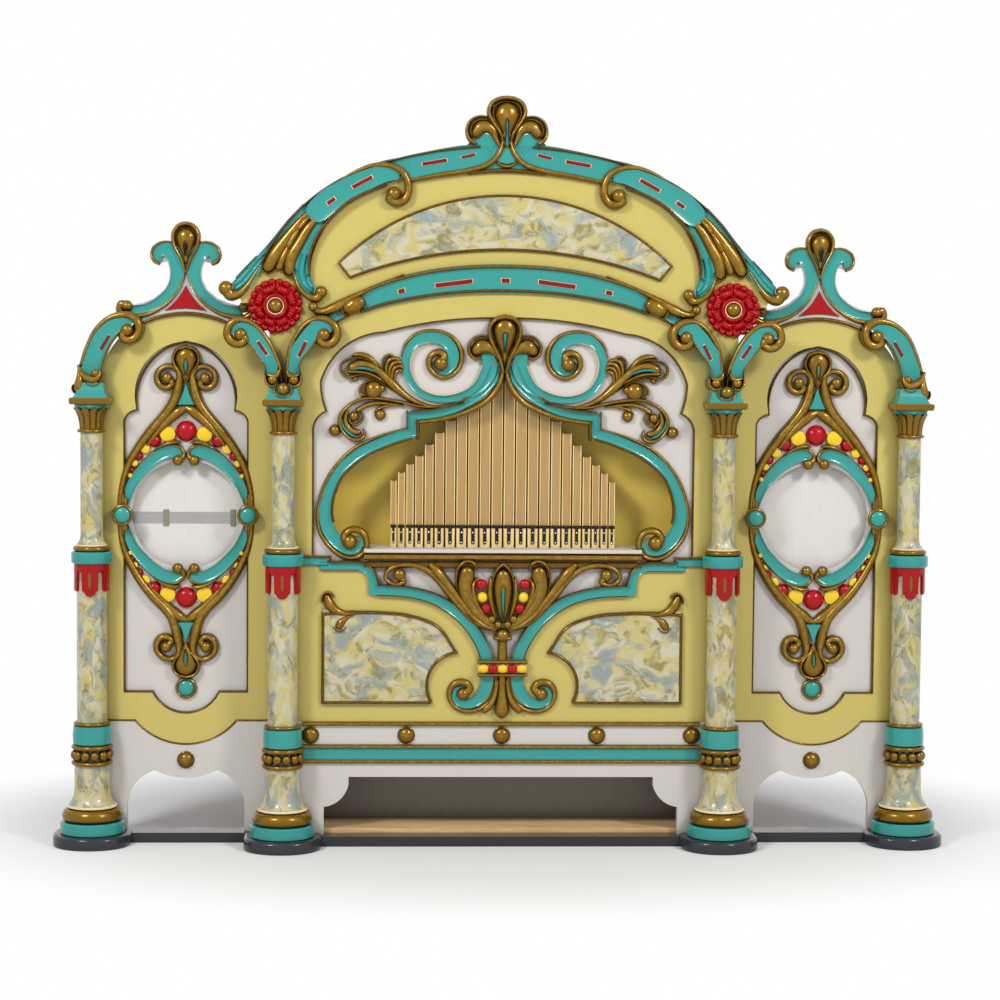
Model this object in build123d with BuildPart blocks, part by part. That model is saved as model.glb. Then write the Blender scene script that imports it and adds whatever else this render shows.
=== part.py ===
"""Carved fairground organ front with its case, drums and row of pipes.

Millimetres, +Z up, the show side faces -Y and X runs across. The origin is on the floor,
midway across the width and midway through the depth.
"""
import os
from math import cos, pi, sin

from build123d import *

os.makedirs("parts", exist_ok=True)

# Depths
overall_depth = 1000.0
wing_setback = 60.0
column_standoff = 45.0
frame_thickness = 12.0
panel_thickness = 18.0
carving_depth = 22.0
field_thickness = 8.0
niche_depth = 150.0

# Widths
outer_column_x = 1209.0
inner_column_x = 646.0
wing_axis_shift = 10.0
board_overhang = 30.0
case_overhang = 14.0

# Column, from the floor up
pad_width = 228.0
pad_height = 36.0
pad_corner = 34.0
disc_radius = 94.0
disc_height = 36.0
torus_radius = 92.0
torus_height = 40.0
foot_height = 126.0
foot_bottom_radius = 70.0
foot_top_radius = 52.0
bead_ring_height = 60.0
bead_ring_radius = 57.0
bead_groove_radius = 51.0
band_height = 68.0
band_radius = 54.0
lower_shaft_height = 468.0
lower_shaft_radius = 44.0
mid_ring_height = 38.0
mid_ring_radius = 60.0
drop_radius = 51.0
drop_long = 94.0
drop_short = 84.0
drop_hem = 24.0
drop_width = 44.0
drop_pitch = 60.0
gold_ring_height = 14.0
gold_ring_radius = 51.0
upper_shaft_height = 332.0
upper_shaft_radius = 33.0
capital_height = 83.0
capital_top_radius = 48.0
abacus_width = 124.0
abacus_height = 19.0
capital_block_height = 54.0
capital_block_half = 52.0
capital_block_top_half = 45.0

# Base
rail_height = 30.0
rail_reach = 30.0
apron_top = 244.0
wing_gap_half = 174.0
wing_gap_side = 116.0
wing_gap_cusp_half = 92.0
wing_gap_cusp_z = 212.0
wing_gap_dip = 23.0
wing_gap_round = 18.0
centre_gap_half = 526.0
centre_gap_side = 113.0
centre_gap_step_half = 453.0
centre_gap_step = 24.0
centre_gap_top = 203.0
compartment_depth = 190.0
floor_board_z = 44.0
floor_board_thickness = 22.0

# Wing
wing_board_bottom = 362.0
wing_lobe_half = 150.0
wing_lobe_drop = 71.0
wing_field_half = 182.0
wing_field_bottom = 447.0
wing_field_lobe_half = 98.0
wing_field_lobe_drop = 63.0
wing_field_shoulder_z = 1252.0
wing_field_cusp_half = 144.0
wing_field_cusp_z = 1284.0
wing_field_top = 1487.0
wing_field_head_radius = 158.0
field_cusp_round = 8.0
drum_opening_radius = 161.0
drum_opening_rise = 8.0

# Centre
belt_top = 368.0
belt_strip_height = 68.0
gold_line = 12.0
belt_line_thickness = 10.0
knob_spacing = 283.0
knob_radius = 26.0
dome_sink = 0.75
dome_bulge = 1.25
seat_gap = 0.3
gem_radii = (29.0, 22.5, 17.5, 14.0, 11.5, 9.0, 8.0, 6.0)
gem_gap = 4.0
gem_ring_radius = 168.0
gem_ring_lift = 79.0
button_radius = 32.0
button_rim = 8.0
button_reach = 184.0
button_lift = 11.0
drum_frame_half = 196.0
drum_frame_rise = 326.0
drum_frame_width = 30.0
fleur_width = 30.0
fleur_reach = 54.0
fleur_ball = 27.0
centre_field_half = 562.0
centre_field_shoulder_z = 1236.0
centre_field_cusp_half = 524.0
centre_field_cusp_z = 1286.0
centre_field_bulge = 540.0
centre_field_bulge_z = 1372.0
centre_field_haunch = 355.0
centre_field_haunch_z = 1519.0
centre_field_top = 1563.0
board_joint_z = 1600.0
arch_top = 2066.0
arch_break_x = 393.0
arch_break_z = 2003.0
arch_end_x = 711.0
arch_end_z = 1725.0
arch_tail_x = 822.0
arch_tail_z = 1640.0
arch_crown_rise = 16.0
arch_haunch_rise = 44.0
arch_tail_dip = 8.0
shoulder_x = 770.0
arch_band = 60.0
lower_arch_top = 1716.0
lower_arch_end_x = 438.0
lower_arch_end_z = 1606.0
lower_arch_band = 66.0
fork_gap = 24.0
fork_tip = 30.0
husk_width = 34.0
end_ball = 24.0
name_top = 1919.0
name_bottom = 1763.0
name_half = 488.0
name_end_top = 1719.0
name_end_bottom = 1678.0
rosette_x = 672.0
rosette_z = 1592.0
rosette_radius = 80.0

# Swept ribbon below the ledge and its clasp
ribbon_width = 32.0
ribbon_step_z = 845.0
ribbon_turn_x = 419.0
ribbon_heel_x = 374.0
ribbon_heel_z = 766.0
ribbon_sweep_x = 300.0
ribbon_waist_x = 40.0
clasp_half = 75.0
clasp_top = 555.0
clasp_height = 50.0
marble_outer_x = 530.0
marble_inner_x = 210.0
marble_bottom = 426.0
marble_top = 694.0

# Pipe opening
opening_peak = 1400.0
opening_step_x = 262.0
opening_step_z = 1258.0
opening_step = 46.0
opening_half = 527.0
opening_foot_x = 472.0

# Consoles and wing crests
console_width = 54.0
console_reach = 122.0
console_top = 1508.0
console_ball = 24.0
finial_rise = 164.0
finial_reach = 76.0
finial_ball = 46.0

# Niche and pipes
ledge_top = 884.0
ledge_height = 18.0
ledge_moulding_height = 24.0
ledge_moulding_half = 410.0
ledge_moulding_reach = 26.0
pipe_count = 22
pipe_row_half = 334.0
pipe_gap = 3.0
pipe_setback = 40.0
pipe_depth = 38.0
pipe_shortest = 196.0
pipe_longest = 458.0
pipe_mouth_height = 58.0
pipe_mouth_z = 8.0
pipe_mouth_thickness = 6.0

# Case and drums
case_height = 1560.0
case_board = 20.0
shelf_thickness = 24.0
bearer_thickness = 30.0
bearer_rise = 40.0
snare_radius = 178.0
snare_depth = 140.0
snare_strip_height = 40.0
snare_strip_lift = -10.0
snare_strip_thickness = 3.0
bass_radius = 262.0
bass_depth = 220.0
hoop_height = 22.0
hoop_thickness = 6.0
drum_gap = 16.0
head_thickness = 2.0

# Planes and heights that follow from the sizes
wing_face = -overall_depth / 2 + pad_width / 2 + column_standoff + wing_setback
centre_face = wing_face - wing_setback
back_face = overall_depth / 2
wing_field_face = wing_face + frame_thickness
centre_field_face = centre_face + frame_thickness
wing_back = wing_field_face + panel_thickness
centre_back = centre_field_face + panel_thickness
apron_thickness = frame_thickness + panel_thickness
niche_face = centre_face + niche_depth
case_half = inner_column_x + case_overhang
centre_half = inner_column_x + board_overhang + case_overhang
wing_axis_x = (outer_column_x + inner_column_x) / 2 + wing_axis_shift
wing_inner = case_half
wing_outer = outer_column_x + board_overhang
disc_z = pad_height
torus_z = disc_z + disc_height
foot_z = torus_z + torus_height
bead_z = foot_z + foot_height
band_z = bead_z + bead_ring_height
lower_shaft_z = band_z + band_height
mid_ring_z = lower_shaft_z + lower_shaft_height
gold_ring_z = mid_ring_z + mid_ring_height
upper_shaft_z = gold_ring_z + gold_ring_height
capital_z = upper_shaft_z + upper_shaft_height
abacus_z = capital_z + capital_height
abacus_top = abacus_z + abacus_height
wing_arch_radius = wing_axis_x - wing_inner - board_overhang / 2
crest_z = abacus_top + wing_arch_radius
belt_bottom = belt_top - belt_strip_height
drum_opening_z = (wing_field_bottom + wing_field_top) / 2 + drum_opening_rise

columns = [
    (-outer_column_x, wing_face),
    (-inner_column_x, centre_face),
    (inner_column_x, centre_face),
    (outer_column_x, wing_face),
]


def front(y):
    """Plane of a face that looks to the front, with X across and Z up."""
    return Plane.XZ.offset(-y)


def finish(name, label):
    """Label a finished sub-part and write its file."""
    name.part.label = label
    export_step(name.part, f"parts/{label}.step")


def turned(profile):
    """Round piece from half its outline, sawn flat where it stands against the board."""
    with BuildPart() as piece:
        with BuildSketch(Plane.XZ):
            with BuildLine():
                Polyline(*profile, close=True)
            make_face()
        revolve(axis=Axis.Z)
        split(bisect_by=Plane.XZ.offset(-column_standoff), keep=Keep.TOP)
    return piece.part


def at_columns(piece):
    """The same piece once at each of the four columns."""
    return [piece.moved(Location((x, y - column_standoff, 0))) for x, y in columns]


def half_turn_profile(outline_points, z):
    """Close an outline of (radius, height) points on the axis, lifted to z."""
    lowest = outline_points[0][1]
    highest = outline_points[-1][1]
    return [(0, z + lowest)] + [(r, z + h) for r, h in outline_points] + [(0, z + highest)]


def band(points, widths, count=10):
    """Face of a curved strip that changes width evenly from one end to the other."""
    with BuildLine() as spine:
        Spline(*points)
    wire = spine.wire()
    left = []
    right = []
    for i in range(count + 1):
        t = i / count
        place = wire @ t
        along = wire % t
        half = widths[0] * (1 - t) / 2 + widths[1] * t / 2
        across = Vector(-along.Y, along.X) * half
        left.append(place + across)
        right.append(place - across)
    with BuildSketch() as strip:
        with BuildLine():
            Spline(*left)
            Line(left[-1], right[-1])
            Spline(*right)
            Line(right[0], left[0])
        make_face()
    return strip.sketch


def scroll(centre, start_radius, end_radius, start, turn, count=12):
    """Points of a spiral about a centre; start and turn are in degrees."""
    points = []
    for i in range(count + 1):
        t = i / count
        angle = (start + turn * t) * pi / 180
        radius = start_radius * (1 - t) + end_radius * t
        points.append((centre[0] + radius * cos(angle), centre[1] + radius * sin(angle)))
    return points


def mirrored(faces):
    """A list of faces with their mirror images across the middle."""
    return faces + [mirror(face, about=Plane.YZ) for face in faces]


def carving(faces, y, depth, balls=(), beside=(), around=None):
    """Flat-backed carved piece on a board face at y, with domed balls of (x, z, radius).

    It stops at the faces in beside, and its balls too are cut back round the face in around.
    """
    with BuildPart() as piece:
        with BuildSketch(front(y)):
            add(faces)
            if beside:
                add(beside, mode=Mode.SUBTRACT)
        extrude(amount=depth)
        for x, z, radius in balls:
            with Locations(front(y) * Location((x, z, 0))):
                Sphere(radius)
        if balls:
            split(bisect_by=front(y), keep=Keep.TOP)
        if around:
            with BuildSketch(front(y)):
                add(around)
            extrude(amount=3 * depth, mode=Mode.SUBTRACT)
    return piece.part


def domes(places, y):
    """Low domes of (x, z, radius) on a face at y."""
    with BuildPart() as pieces:
        for x, z, radius in places:
            with Locations(front(y) * Location((x, z, -radius * dome_sink))):
                Sphere(radius * dome_bulge)
        split(bisect_by=front(y), keep=Keep.TOP)
    return pieces.part


def finish_carving(label, faces, y, depth, balls=(), beside=(), around=None):
    """Carved piece of its own node; balls are given for the right and repeated left."""
    both = list(balls) + [(-x, z, r) for x, z, r in balls if x > 0]
    with BuildPart() as piece:
        add(carving(faces, y, depth, both, beside, around))
    finish(piece, label)


def both_sides(part):
    """A part and its mirror image on the other side of the middle."""
    return [part, mirror(part, about=Plane.YZ)]


def plinth():
    """Floor rails under the boards and the rounded pads under the columns."""
    pad_depth = pad_width / 2 + column_standoff
    with BuildPart() as pad:
        with BuildSketch(Plane.XY) as shape:
            with Locations((0, column_standoff - pad_depth / 2)):
                Rectangle(pad_width, pad_depth)
            fillet(shape.vertices().group_by(Axis.Y)[0], pad_corner)
        extrude(amount=pad_height)
    with BuildPart() as pads:
        add(at_columns(pad.part))
    finish(pads, "column_pads")
    inner_edge = inner_column_x - pad_width / 2
    outer_edge = outer_column_x - pad_width / 2
    with BuildPart() as rails:
        with BuildSketch(Plane.XY):
            with Locations((0, centre_face + apron_thickness / 2)):
                Rectangle(2 * centre_half, apron_thickness)
            with Locations((0, centre_face - rail_reach / 2)):
                Rectangle(2 * inner_edge, rail_reach)
            for side in (-1, 1):
                with Locations((side * (wing_inner + wing_outer) / 2,
                                wing_face + apron_thickness / 2)):
                    Rectangle(wing_outer - wing_inner, apron_thickness)
                with Locations((side * (wing_inner + outer_edge) / 2, wing_face - rail_reach / 2)):
                    Rectangle(outer_edge - wing_inner, rail_reach)
        extrude(amount=rail_height)
    finish(rails, "plinth_rails")


def column_parts():
    """The turned pieces of the four columns, from the floor up."""
    base = [
        (disc_radius, 0),
        (disc_radius, disc_height),
        (torus_radius - 12, disc_height),
        (torus_radius, disc_height + torus_height * 0.3),
        (torus_radius - 2, disc_height + torus_height * 0.6),
        (foot_bottom_radius + 6, disc_height + torus_height),
    ]
    foot = [
        (foot_bottom_radius, 0),
        (foot_bottom_radius - 10, foot_height * 0.35),
        (foot_top_radius, foot_height * 0.85),
        (foot_top_radius, foot_height),
    ]
    edge = bead_ring_height * 0.18
    bands = [
        (bead_ring_radius, 0),
        (bead_ring_radius, edge),
        (bead_groove_radius, edge),
        (bead_groove_radius, bead_ring_height - edge),
        (bead_ring_radius, bead_ring_height - edge),
        (bead_ring_radius, bead_ring_height),
        (band_radius, bead_ring_height),
        (band_radius, bead_ring_height + band_height),
    ]
    lower = [(lower_shaft_radius, 0), (lower_shaft_radius, lower_shaft_height)]
    rings = [
        (mid_ring_radius, 0),
        (mid_ring_radius, mid_ring_height),
        (gold_ring_radius, mid_ring_height),
        (gold_ring_radius, mid_ring_height + gold_ring_height),
    ]
    upper = [(upper_shaft_radius, 0), (upper_shaft_radius, upper_shaft_height)]
    stack = [
        ("column_bases", base, disc_z),
        ("column_feet", foot, foot_z),
        ("column_bands", bands, bead_z),
        ("column_lower_shafts", lower, lower_shaft_z),
        ("column_rings", rings, mid_ring_z),
        ("column_upper_shafts", upper, upper_shaft_z),
    ]
    for label, outline, z in stack:
        with BuildPart() as pieces:
            add(at_columns(turned(half_turn_profile(outline, z))))
        finish(pieces, label)


def drop_bands():
    """Rounded red drops that hang round the top of each lower shaft, longest in front."""
    with BuildPart() as cloth:
        with BuildSketch(Plane.XY.offset(mid_ring_z)):
            Circle(drop_radius)
            Circle(lower_shaft_radius, mode=Mode.SUBTRACT)
        extrude(amount=-drop_hem)
        for x, length in ((0, drop_long), (drop_pitch, drop_short), (-drop_pitch, drop_short)):
            with BuildSketch(front(0)):
                with Locations((x, mid_ring_z - length / 2)):
                    SlotOverall(length, drop_width, rotation=90)
            extrude(amount=drop_radius)
        with BuildSketch(Plane.XY.offset(mid_ring_z - 2 * drop_long)):
            Circle(drop_radius)
        extrude(amount=2 * drop_long, mode=Mode.INTERSECT)
        with BuildSketch(Plane.XY.offset(mid_ring_z - 2 * drop_long)):
            Circle(lower_shaft_radius)
        extrude(amount=2 * drop_long, mode=Mode.SUBTRACT)
        split(bisect_by=Plane.XZ, keep=Keep.TOP)
    with BuildPart() as pieces:
        add(at_columns(cloth.part))
    finish(pieces, "column_drops")


def capitals():
    """Flared capitals with their square top slabs and the blocks under the consoles."""
    bell = [
        (upper_shaft_radius + 5, 0),
        (upper_shaft_radius + 5, capital_height * 0.12),
        (upper_shaft_radius, capital_height * 0.16),
        (upper_shaft_radius + 3, capital_height * 0.6),
        (capital_top_radius, capital_height),
    ]
    with BuildPart() as capital:
        add(turned(half_turn_profile(bell, capital_z)))
        reach = abacus_width / 2 + column_standoff
        with BuildSketch(Plane.XY.offset(abacus_z)):
            with Locations((0, column_standoff - reach / 2)):
                Rectangle(abacus_width, reach)
        extrude(amount=abacus_height)
    with BuildPart() as block:
        for z, half in ((abacus_top, capital_block_half),
                        (abacus_top + capital_block_height, capital_block_top_half)):
            reach = half + column_standoff
            with BuildSketch(Plane.XY.offset(z)):
                with Locations((0, column_standoff - reach / 2)):
                    Rectangle(2 * half, reach)
        loft()
    for label, piece in (("column_capitals", capital.part), ("capital_blocks", block.part)):
        with BuildPart() as pieces:
            add(at_columns(piece))
        finish(pieces, label)


def aprons():
    """White boards between the column feet, open below."""
    with BuildPart() as wing:
        with BuildSketch(front(wing_back)):
            with Locations(((wing_inner + wing_outer) / 2, (rail_height + wing_board_bottom) / 2)):
                Rectangle(wing_outer - wing_inner, wing_board_bottom - rail_height)
            with BuildLine():
                add(wing_gap_outline())
            make_face(mode=Mode.SUBTRACT)
            with BuildLine():
                add(wing_lobe_outline())
            make_face(mode=Mode.SUBTRACT)
        extrude(amount=apron_thickness)
    with BuildPart() as pair:
        add(both_sides(wing.part))
    finish(pair, "wing_aprons")
    with BuildPart() as centre:
        with BuildSketch(front(centre_back)):
            with Locations((0, (rail_height + apron_top) / 2)):
                Rectangle(2 * centre_half, apron_top - rail_height)
            with BuildLine():
                add(centre_gap_outline())
            make_face(mode=Mode.SUBTRACT)
        extrude(amount=apron_thickness)
    finish(centre, "centre_apron")


def wing_lobe_outline():
    """Outline of the lobe that hangs from the foot of a wing's board."""
    left = (wing_axis_x - wing_lobe_half, wing_board_bottom)
    right = (wing_axis_x + wing_lobe_half, wing_board_bottom)
    with BuildLine() as outline:
        ThreePointArc(left, (wing_axis_x, wing_board_bottom - wing_lobe_drop), right)
        Line(right, left)
    return outline.line


def wing_gap_outline():
    """Outline of the gap under one wing, with its two cusps and hanging lobe."""
    left = wing_axis_x - wing_gap_half
    right = wing_axis_x + wing_gap_half
    cusp_left = wing_axis_x - wing_gap_cusp_half
    cusp_right = wing_axis_x + wing_gap_cusp_half
    with BuildLine() as outline:
        Line((left, rail_height), (right, rail_height))
        Line((right, rail_height), (right, wing_gap_side))
        SagittaArc((right, wing_gap_side), (cusp_right, wing_gap_cusp_z), -wing_gap_round)
        SagittaArc((cusp_right, wing_gap_cusp_z), (cusp_left, wing_gap_cusp_z), wing_gap_dip)
        SagittaArc((cusp_left, wing_gap_cusp_z), (left, wing_gap_side), -wing_gap_round)
        Line((left, wing_gap_side), (left, rail_height))
    return outline.line


def centre_gap_outline():
    """Outline of the wide gap in the middle apron."""
    step_z = centre_gap_top - centre_gap_step
    with BuildLine() as outline:
        Line((0, rail_height), (centre_gap_half, rail_height))
        Line((centre_gap_half, rail_height), (centre_gap_half, centre_gap_side))
        SagittaArc((centre_gap_half, centre_gap_side), (centre_gap_step_half, step_z), 16)
        Line((centre_gap_step_half, step_z), (centre_gap_step_half, centre_gap_top))
        Line((centre_gap_step_half, centre_gap_top), (0, centre_gap_top))
        mirror(about=Plane.YZ)
    return outline.line


def wing_board_outline():
    """Outline of one wing's board: straight foot with a hanging lobe, half-round head."""
    head_z = abacus_top
    left = wing_axis_x - wing_arch_radius
    right = wing_axis_x + wing_arch_radius
    lobe_left = wing_axis_x - wing_lobe_half
    lobe_right = wing_axis_x + wing_lobe_half
    with BuildLine() as outline:
        Line((wing_inner, wing_board_bottom), (lobe_left, wing_board_bottom))
        ThreePointArc((lobe_left, wing_board_bottom),
                      (wing_axis_x, wing_board_bottom - wing_lobe_drop),
                      (lobe_right, wing_board_bottom))
        Line((lobe_right, wing_board_bottom), (wing_outer, wing_board_bottom))
        Line((wing_outer, wing_board_bottom), (wing_outer, head_z))
        Line((wing_outer, head_z), (right, head_z))
        ThreePointArc((right, head_z), (wing_axis_x, head_z + wing_arch_radius), (left, head_z))
        Line((left, head_z), (wing_inner, head_z))
        Line((wing_inner, head_z), (wing_inner, wing_board_bottom))
    return outline.line


def wing_field_outline():
    """Outline of the white field of one wing: trefoil head, lobed foot."""
    with BuildLine() as outline:
        lobe = (wing_axis_x + wing_field_lobe_half, wing_field_bottom)
        corner = (wing_axis_x + wing_field_half, wing_field_bottom)
        shoulder = (wing_axis_x + wing_field_half, wing_field_shoulder_z)
        cusp = (wing_axis_x + wing_field_cusp_half, wing_field_cusp_z)
        Line(lobe, corner)
        Line(corner, shoulder)
        SagittaArc(shoulder, cusp, -field_cusp_round)
        RadiusArc(cusp, (wing_axis_x, wing_field_top), -wing_field_head_radius)
        mirror(about=Plane.YZ.offset(wing_axis_x))
        ThreePointArc((wing_axis_x - wing_field_lobe_half, wing_field_bottom),
                      (wing_axis_x, wing_field_bottom - wing_field_lobe_drop), lobe)
    return outline.line


def wing_boards():
    """White panel behind and yellow board in front of it, each with the drum opening."""
    with BuildPart() as panel:
        with BuildSketch(front(wing_back)):
            with BuildLine():
                add(wing_board_outline())
            make_face()
            with Locations((wing_axis_x, drum_opening_z)):
                Circle(drum_opening_radius, mode=Mode.SUBTRACT)
        extrude(amount=panel_thickness)
    with BuildPart() as board:
        with BuildSketch(front(wing_field_face)):
            with BuildLine():
                add(wing_board_outline())
            make_face()
            with BuildLine():
                add(wing_field_outline())
            make_face(mode=Mode.SUBTRACT)
        extrude(amount=frame_thickness)
    for side, part in zip(("right", "left"), both_sides(panel.part)):
        with BuildPart() as piece:
            add(part)
        finish(piece, f"wing_panel_{side}")
    for side, part in zip(("right", "left"), both_sides(board.part)):
        with BuildPart() as piece:
            add(part)
        finish(piece, f"wing_board_{side}")
    return both_sides(board.part)


def centre_field_outline():
    """Outline of the white field in the middle, closed below by the swept ribbon line."""
    with BuildLine() as outline:
        top = (0, centre_field_top)
        haunch = (centre_field_haunch, centre_field_haunch_z)
        bulge = (centre_field_bulge, centre_field_bulge_z)
        cusp = (centre_field_cusp_half, centre_field_cusp_z)
        shoulder = (centre_field_half, centre_field_shoulder_z)
        SagittaArc(top, haunch, 13)
        SagittaArc(haunch, bulge, 38)
        SagittaArc(bulge, cusp, 4)
        SagittaArc(cusp, shoulder, field_cusp_round)
        Line(shoulder, (centre_field_half, ribbon_step_z))
        Line((centre_field_half, ribbon_step_z), (ribbon_turn_x, ribbon_step_z))
        SagittaArc((ribbon_turn_x, ribbon_step_z), (ribbon_heel_x, ribbon_heel_z), -12)
        Line((ribbon_heel_x, ribbon_heel_z), (ribbon_sweep_x, ribbon_heel_z))
        Spline((ribbon_sweep_x, ribbon_heel_z), (147, 703), (70, 629), (ribbon_waist_x, clasp_top))
        Line((ribbon_waist_x, clasp_top), (0, clasp_top))
        mirror(about=Plane.YZ)
    return outline.line


def pipe_opening_outline():
    """Outline of the opening in front of the pipes."""
    top = (0, opening_peak)
    with BuildLine() as outline:
        Spline(top, (30, 1352), (110, 1300), (215, 1262), (opening_step_x, opening_step_z))
        Line((opening_step_x, opening_step_z), (opening_step_x, opening_step_z - opening_step))
        Spline((opening_step_x, opening_step_z - opening_step), (400, 1172), (492, 1098),
               (opening_half, 1000), (500, 915), (opening_foot_x, ledge_top))
        Line((opening_foot_x, ledge_top), (0, ledge_top))
        mirror(about=Plane.YZ)
    return outline.line


def centre_boards():
    """Middle yellow board, the white panel behind it and the belt strip below."""
    with BuildPart() as board:
        with BuildSketch(front(centre_field_face)):
            with Locations((0, (belt_top + board_joint_z) / 2)):
                Rectangle(2 * centre_half, board_joint_z - belt_top)
            with BuildLine():
                add(centre_field_outline())
            make_face(mode=Mode.SUBTRACT)
        extrude(amount=frame_thickness)
    finish(board, "centre_board")
    with BuildPart() as panel:
        with BuildSketch(front(centre_back)):
            with Locations((0, (apron_top + board_joint_z) / 2)):
                Rectangle(2 * centre_half, board_joint_z - apron_top)
            with BuildLine():
                add(pipe_opening_outline())
            make_face(mode=Mode.SUBTRACT)
        extrude(amount=panel_thickness)
    finish(panel, "centre_panel")
    with BuildPart() as belt:
        with BuildSketch(front(centre_field_face)):
            with Locations((0, (belt_top + apron_top) / 2)):
                Rectangle(2 * centre_half, belt_top - apron_top)
        extrude(amount=frame_thickness)
    finish(belt, "belt_board")


def arch_edge():
    """Upper edge of the head board, right of the middle."""
    with BuildLine() as edge:
        start = (0, arch_top)
        turn = (arch_break_x, arch_break_z)
        end = (arch_end_x, arch_end_z)
        SagittaArc(start, turn, arch_crown_rise)
        SagittaArc(turn, end, arch_haunch_rise)
        SagittaArc(end, (arch_tail_x, arch_tail_z), -arch_tail_dip)
    return edge.line


def pediment_outline():
    """Outline of the arched head board down to its joint with the middle board."""
    with BuildLine() as outline:
        add(arch_edge())
        SagittaArc((arch_tail_x, arch_tail_z), (shoulder_x, board_joint_z), -10)
        Line((shoulder_x, board_joint_z), (0, board_joint_z))
        mirror(about=Plane.YZ)
    return outline.line


def along_edge(line, inset, count):
    """Points set in from a line by a fixed distance, on its right hand."""
    points = []
    for i in range(count + 1):
        place = line @ (i / count)
        along = line % (i / count)
        points.append((place.X + along.Y * inset, place.Y - along.X * inset))
    return points


def name_field_outline():
    """Outline of the bare curved field in the head board."""
    with BuildLine() as outline:
        ThreePointArc((-name_half, name_end_top), (0, name_top), (name_half, name_end_top))
        Line((name_half, name_end_top), (name_half - 33, name_end_bottom))
        ThreePointArc((name_half - 33, name_end_bottom), (0, name_bottom),
                      (33 - name_half, name_end_bottom))
        Line((33 - name_half, name_end_bottom), (-name_half, name_end_top))
    return outline.line


def pediment():
    """Arched head board and the bare curved field set on it."""
    with BuildPart() as board:
        with BuildSketch(front(centre_back)):
            with BuildLine():
                add(pediment_outline())
            make_face()
        extrude(amount=panel_thickness + frame_thickness)
    finish(board, "pediment_board")
    with BuildPart() as field:
        with BuildSketch(front(centre_face)):
            with BuildLine():
                add(name_field_outline())
            make_face()
        extrude(amount=field_thickness)
    finish(field, "name_panel")


def crest():
    """Carved finial over the middle of the top arch; returns its faces."""
    top = arch_top + finial_rise
    stem = band([(0, arch_top - 60), (0, arch_top + 34), (0, top - 28)], [70, 40], 4)
    lobe = band([(0, arch_top + 4), (finial_reach * 0.7, arch_top + 32),
                 (finial_reach, arch_top + 62)], [46, 34], 5)
    arm = band([(20, arch_top + 10), (70, arch_top - 30), (130, arch_top - 48)], [46, 16], 6)
    faces = [stem] + mirrored([lobe, arm])
    balls = [(0, top - finial_ball, finial_ball), (finial_reach, arch_top + 44, end_ball + 10)]
    finish_carving("crest_finial", faces, centre_face, carving_depth + 8, balls)
    return faces


def arches(crest_faces):
    """Two arched mouldings with their end balls."""
    upper = band(along_edge(arch_edge(), arch_band / 2, 10), [arch_band, arch_band * 0.6], 16)
    fork_x = name_half + fork_gap
    fork = band([(fork_x + arch_band, name_end_top + 133), (fork_x + 20, name_end_top + 81),
                 (fork_x, name_end_top + 11), (fork_x + 34, name_end_bottom - 10)],
                [arch_band, fork_tip], 14)
    husk_x = (fork_x + arch_end_x) / 2
    husks = [band([(husk_x + lean, arch_end_z + 135), (husk_x + lean + 28, arch_end_z + 55),
                   (husk_x + lean + 24, arch_end_z - 14)], [husk_width / 3, husk_width], 5)
             for lean in (-husk_width / 2, husk_width)]
    volute = along_edge(arch_edge(), arch_band * 1.2, 24)[8]
    balls = [(arch_tail_x - 8, arch_tail_z, end_ball),
             (fork_x + 34, name_end_bottom - 14, end_ball), (*volute, end_ball + 6)]
    with BuildSketch() as flower:
        with Locations((rosette_x, rosette_z), (-rosette_x, rosette_z)):
            Circle(rosette_radius + seat_gap)
    finish_carving("top_arch", mirrored([upper, fork, *husks]), centre_face, carving_depth, balls,
                   crest_faces, flower.sketch)
    lower_z = lower_arch_top - lower_arch_band / 2
    lower = band([(-lower_arch_end_x, lower_arch_end_z + 8), (0, lower_z),
                  (lower_arch_end_x, lower_arch_end_z + 8)],
                 [lower_arch_band, lower_arch_band], 10)
    tail = band([(lower_arch_end_x - 10, lower_arch_end_z + 16),
                 (lower_arch_end_x + 62, lower_arch_end_z - 10),
                 (rosette_x - rosette_radius - 41, rosette_z - 5)], [40, 14], 6)
    balls = [(lower_arch_end_x, lower_arch_end_z - 6, 28)]
    finish_carving("lower_arch", [lower] + mirrored([tail]), centre_face, carving_depth, balls)


def wing_crests():
    """Scrolled crests on the heads of both wings."""
    arm = band([(6, crest_z + 30), (20, crest_z + 120), (64, crest_z + 166), (104, crest_z + 172)],
               [44, 26], 8)
    leg = band([(20, crest_z + 90), (60, crest_z + 10), (110, crest_z - 14), (160, crest_z + 16)],
               [50, 30], 8)
    body = band([(0, crest_z - 24), (0, crest_z + 40), (0, crest_z + 130)], [190, 30], 4)
    stem = band([(0, crest_z + 100), (0, crest_z + 180), (0, crest_z + 230)], [36, 50], 4)
    balls = [(0, crest_z + 236, 34), (164, crest_z + 16, 22), (104, crest_z + 166, 20),
             (-164, crest_z + 16, 22), (-104, crest_z + 166, 20)]
    one = carving([body, stem] + mirrored([arm, leg]), wing_face, carving_depth, balls)
    with BuildPart() as pieces:
        add([one.moved(Location((side * wing_axis_x, 0, 0))) for side in (-1, 1)])
    finish(pieces, "wing_crests")


def console(column_x, side):
    """Face of one scrolled console that leaves its column head towards one side."""
    foot = column_x + side * 8
    strip = band([(foot, abacus_top - 20), (foot + side * 12, abacus_top + 60),
                  (foot + side * 52, abacus_top + 140), (foot + side * console_reach, console_top)],
                 [console_width, console_width], 8)
    return strip, (foot + side * console_reach, console_top - 14, console_ball)


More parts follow.
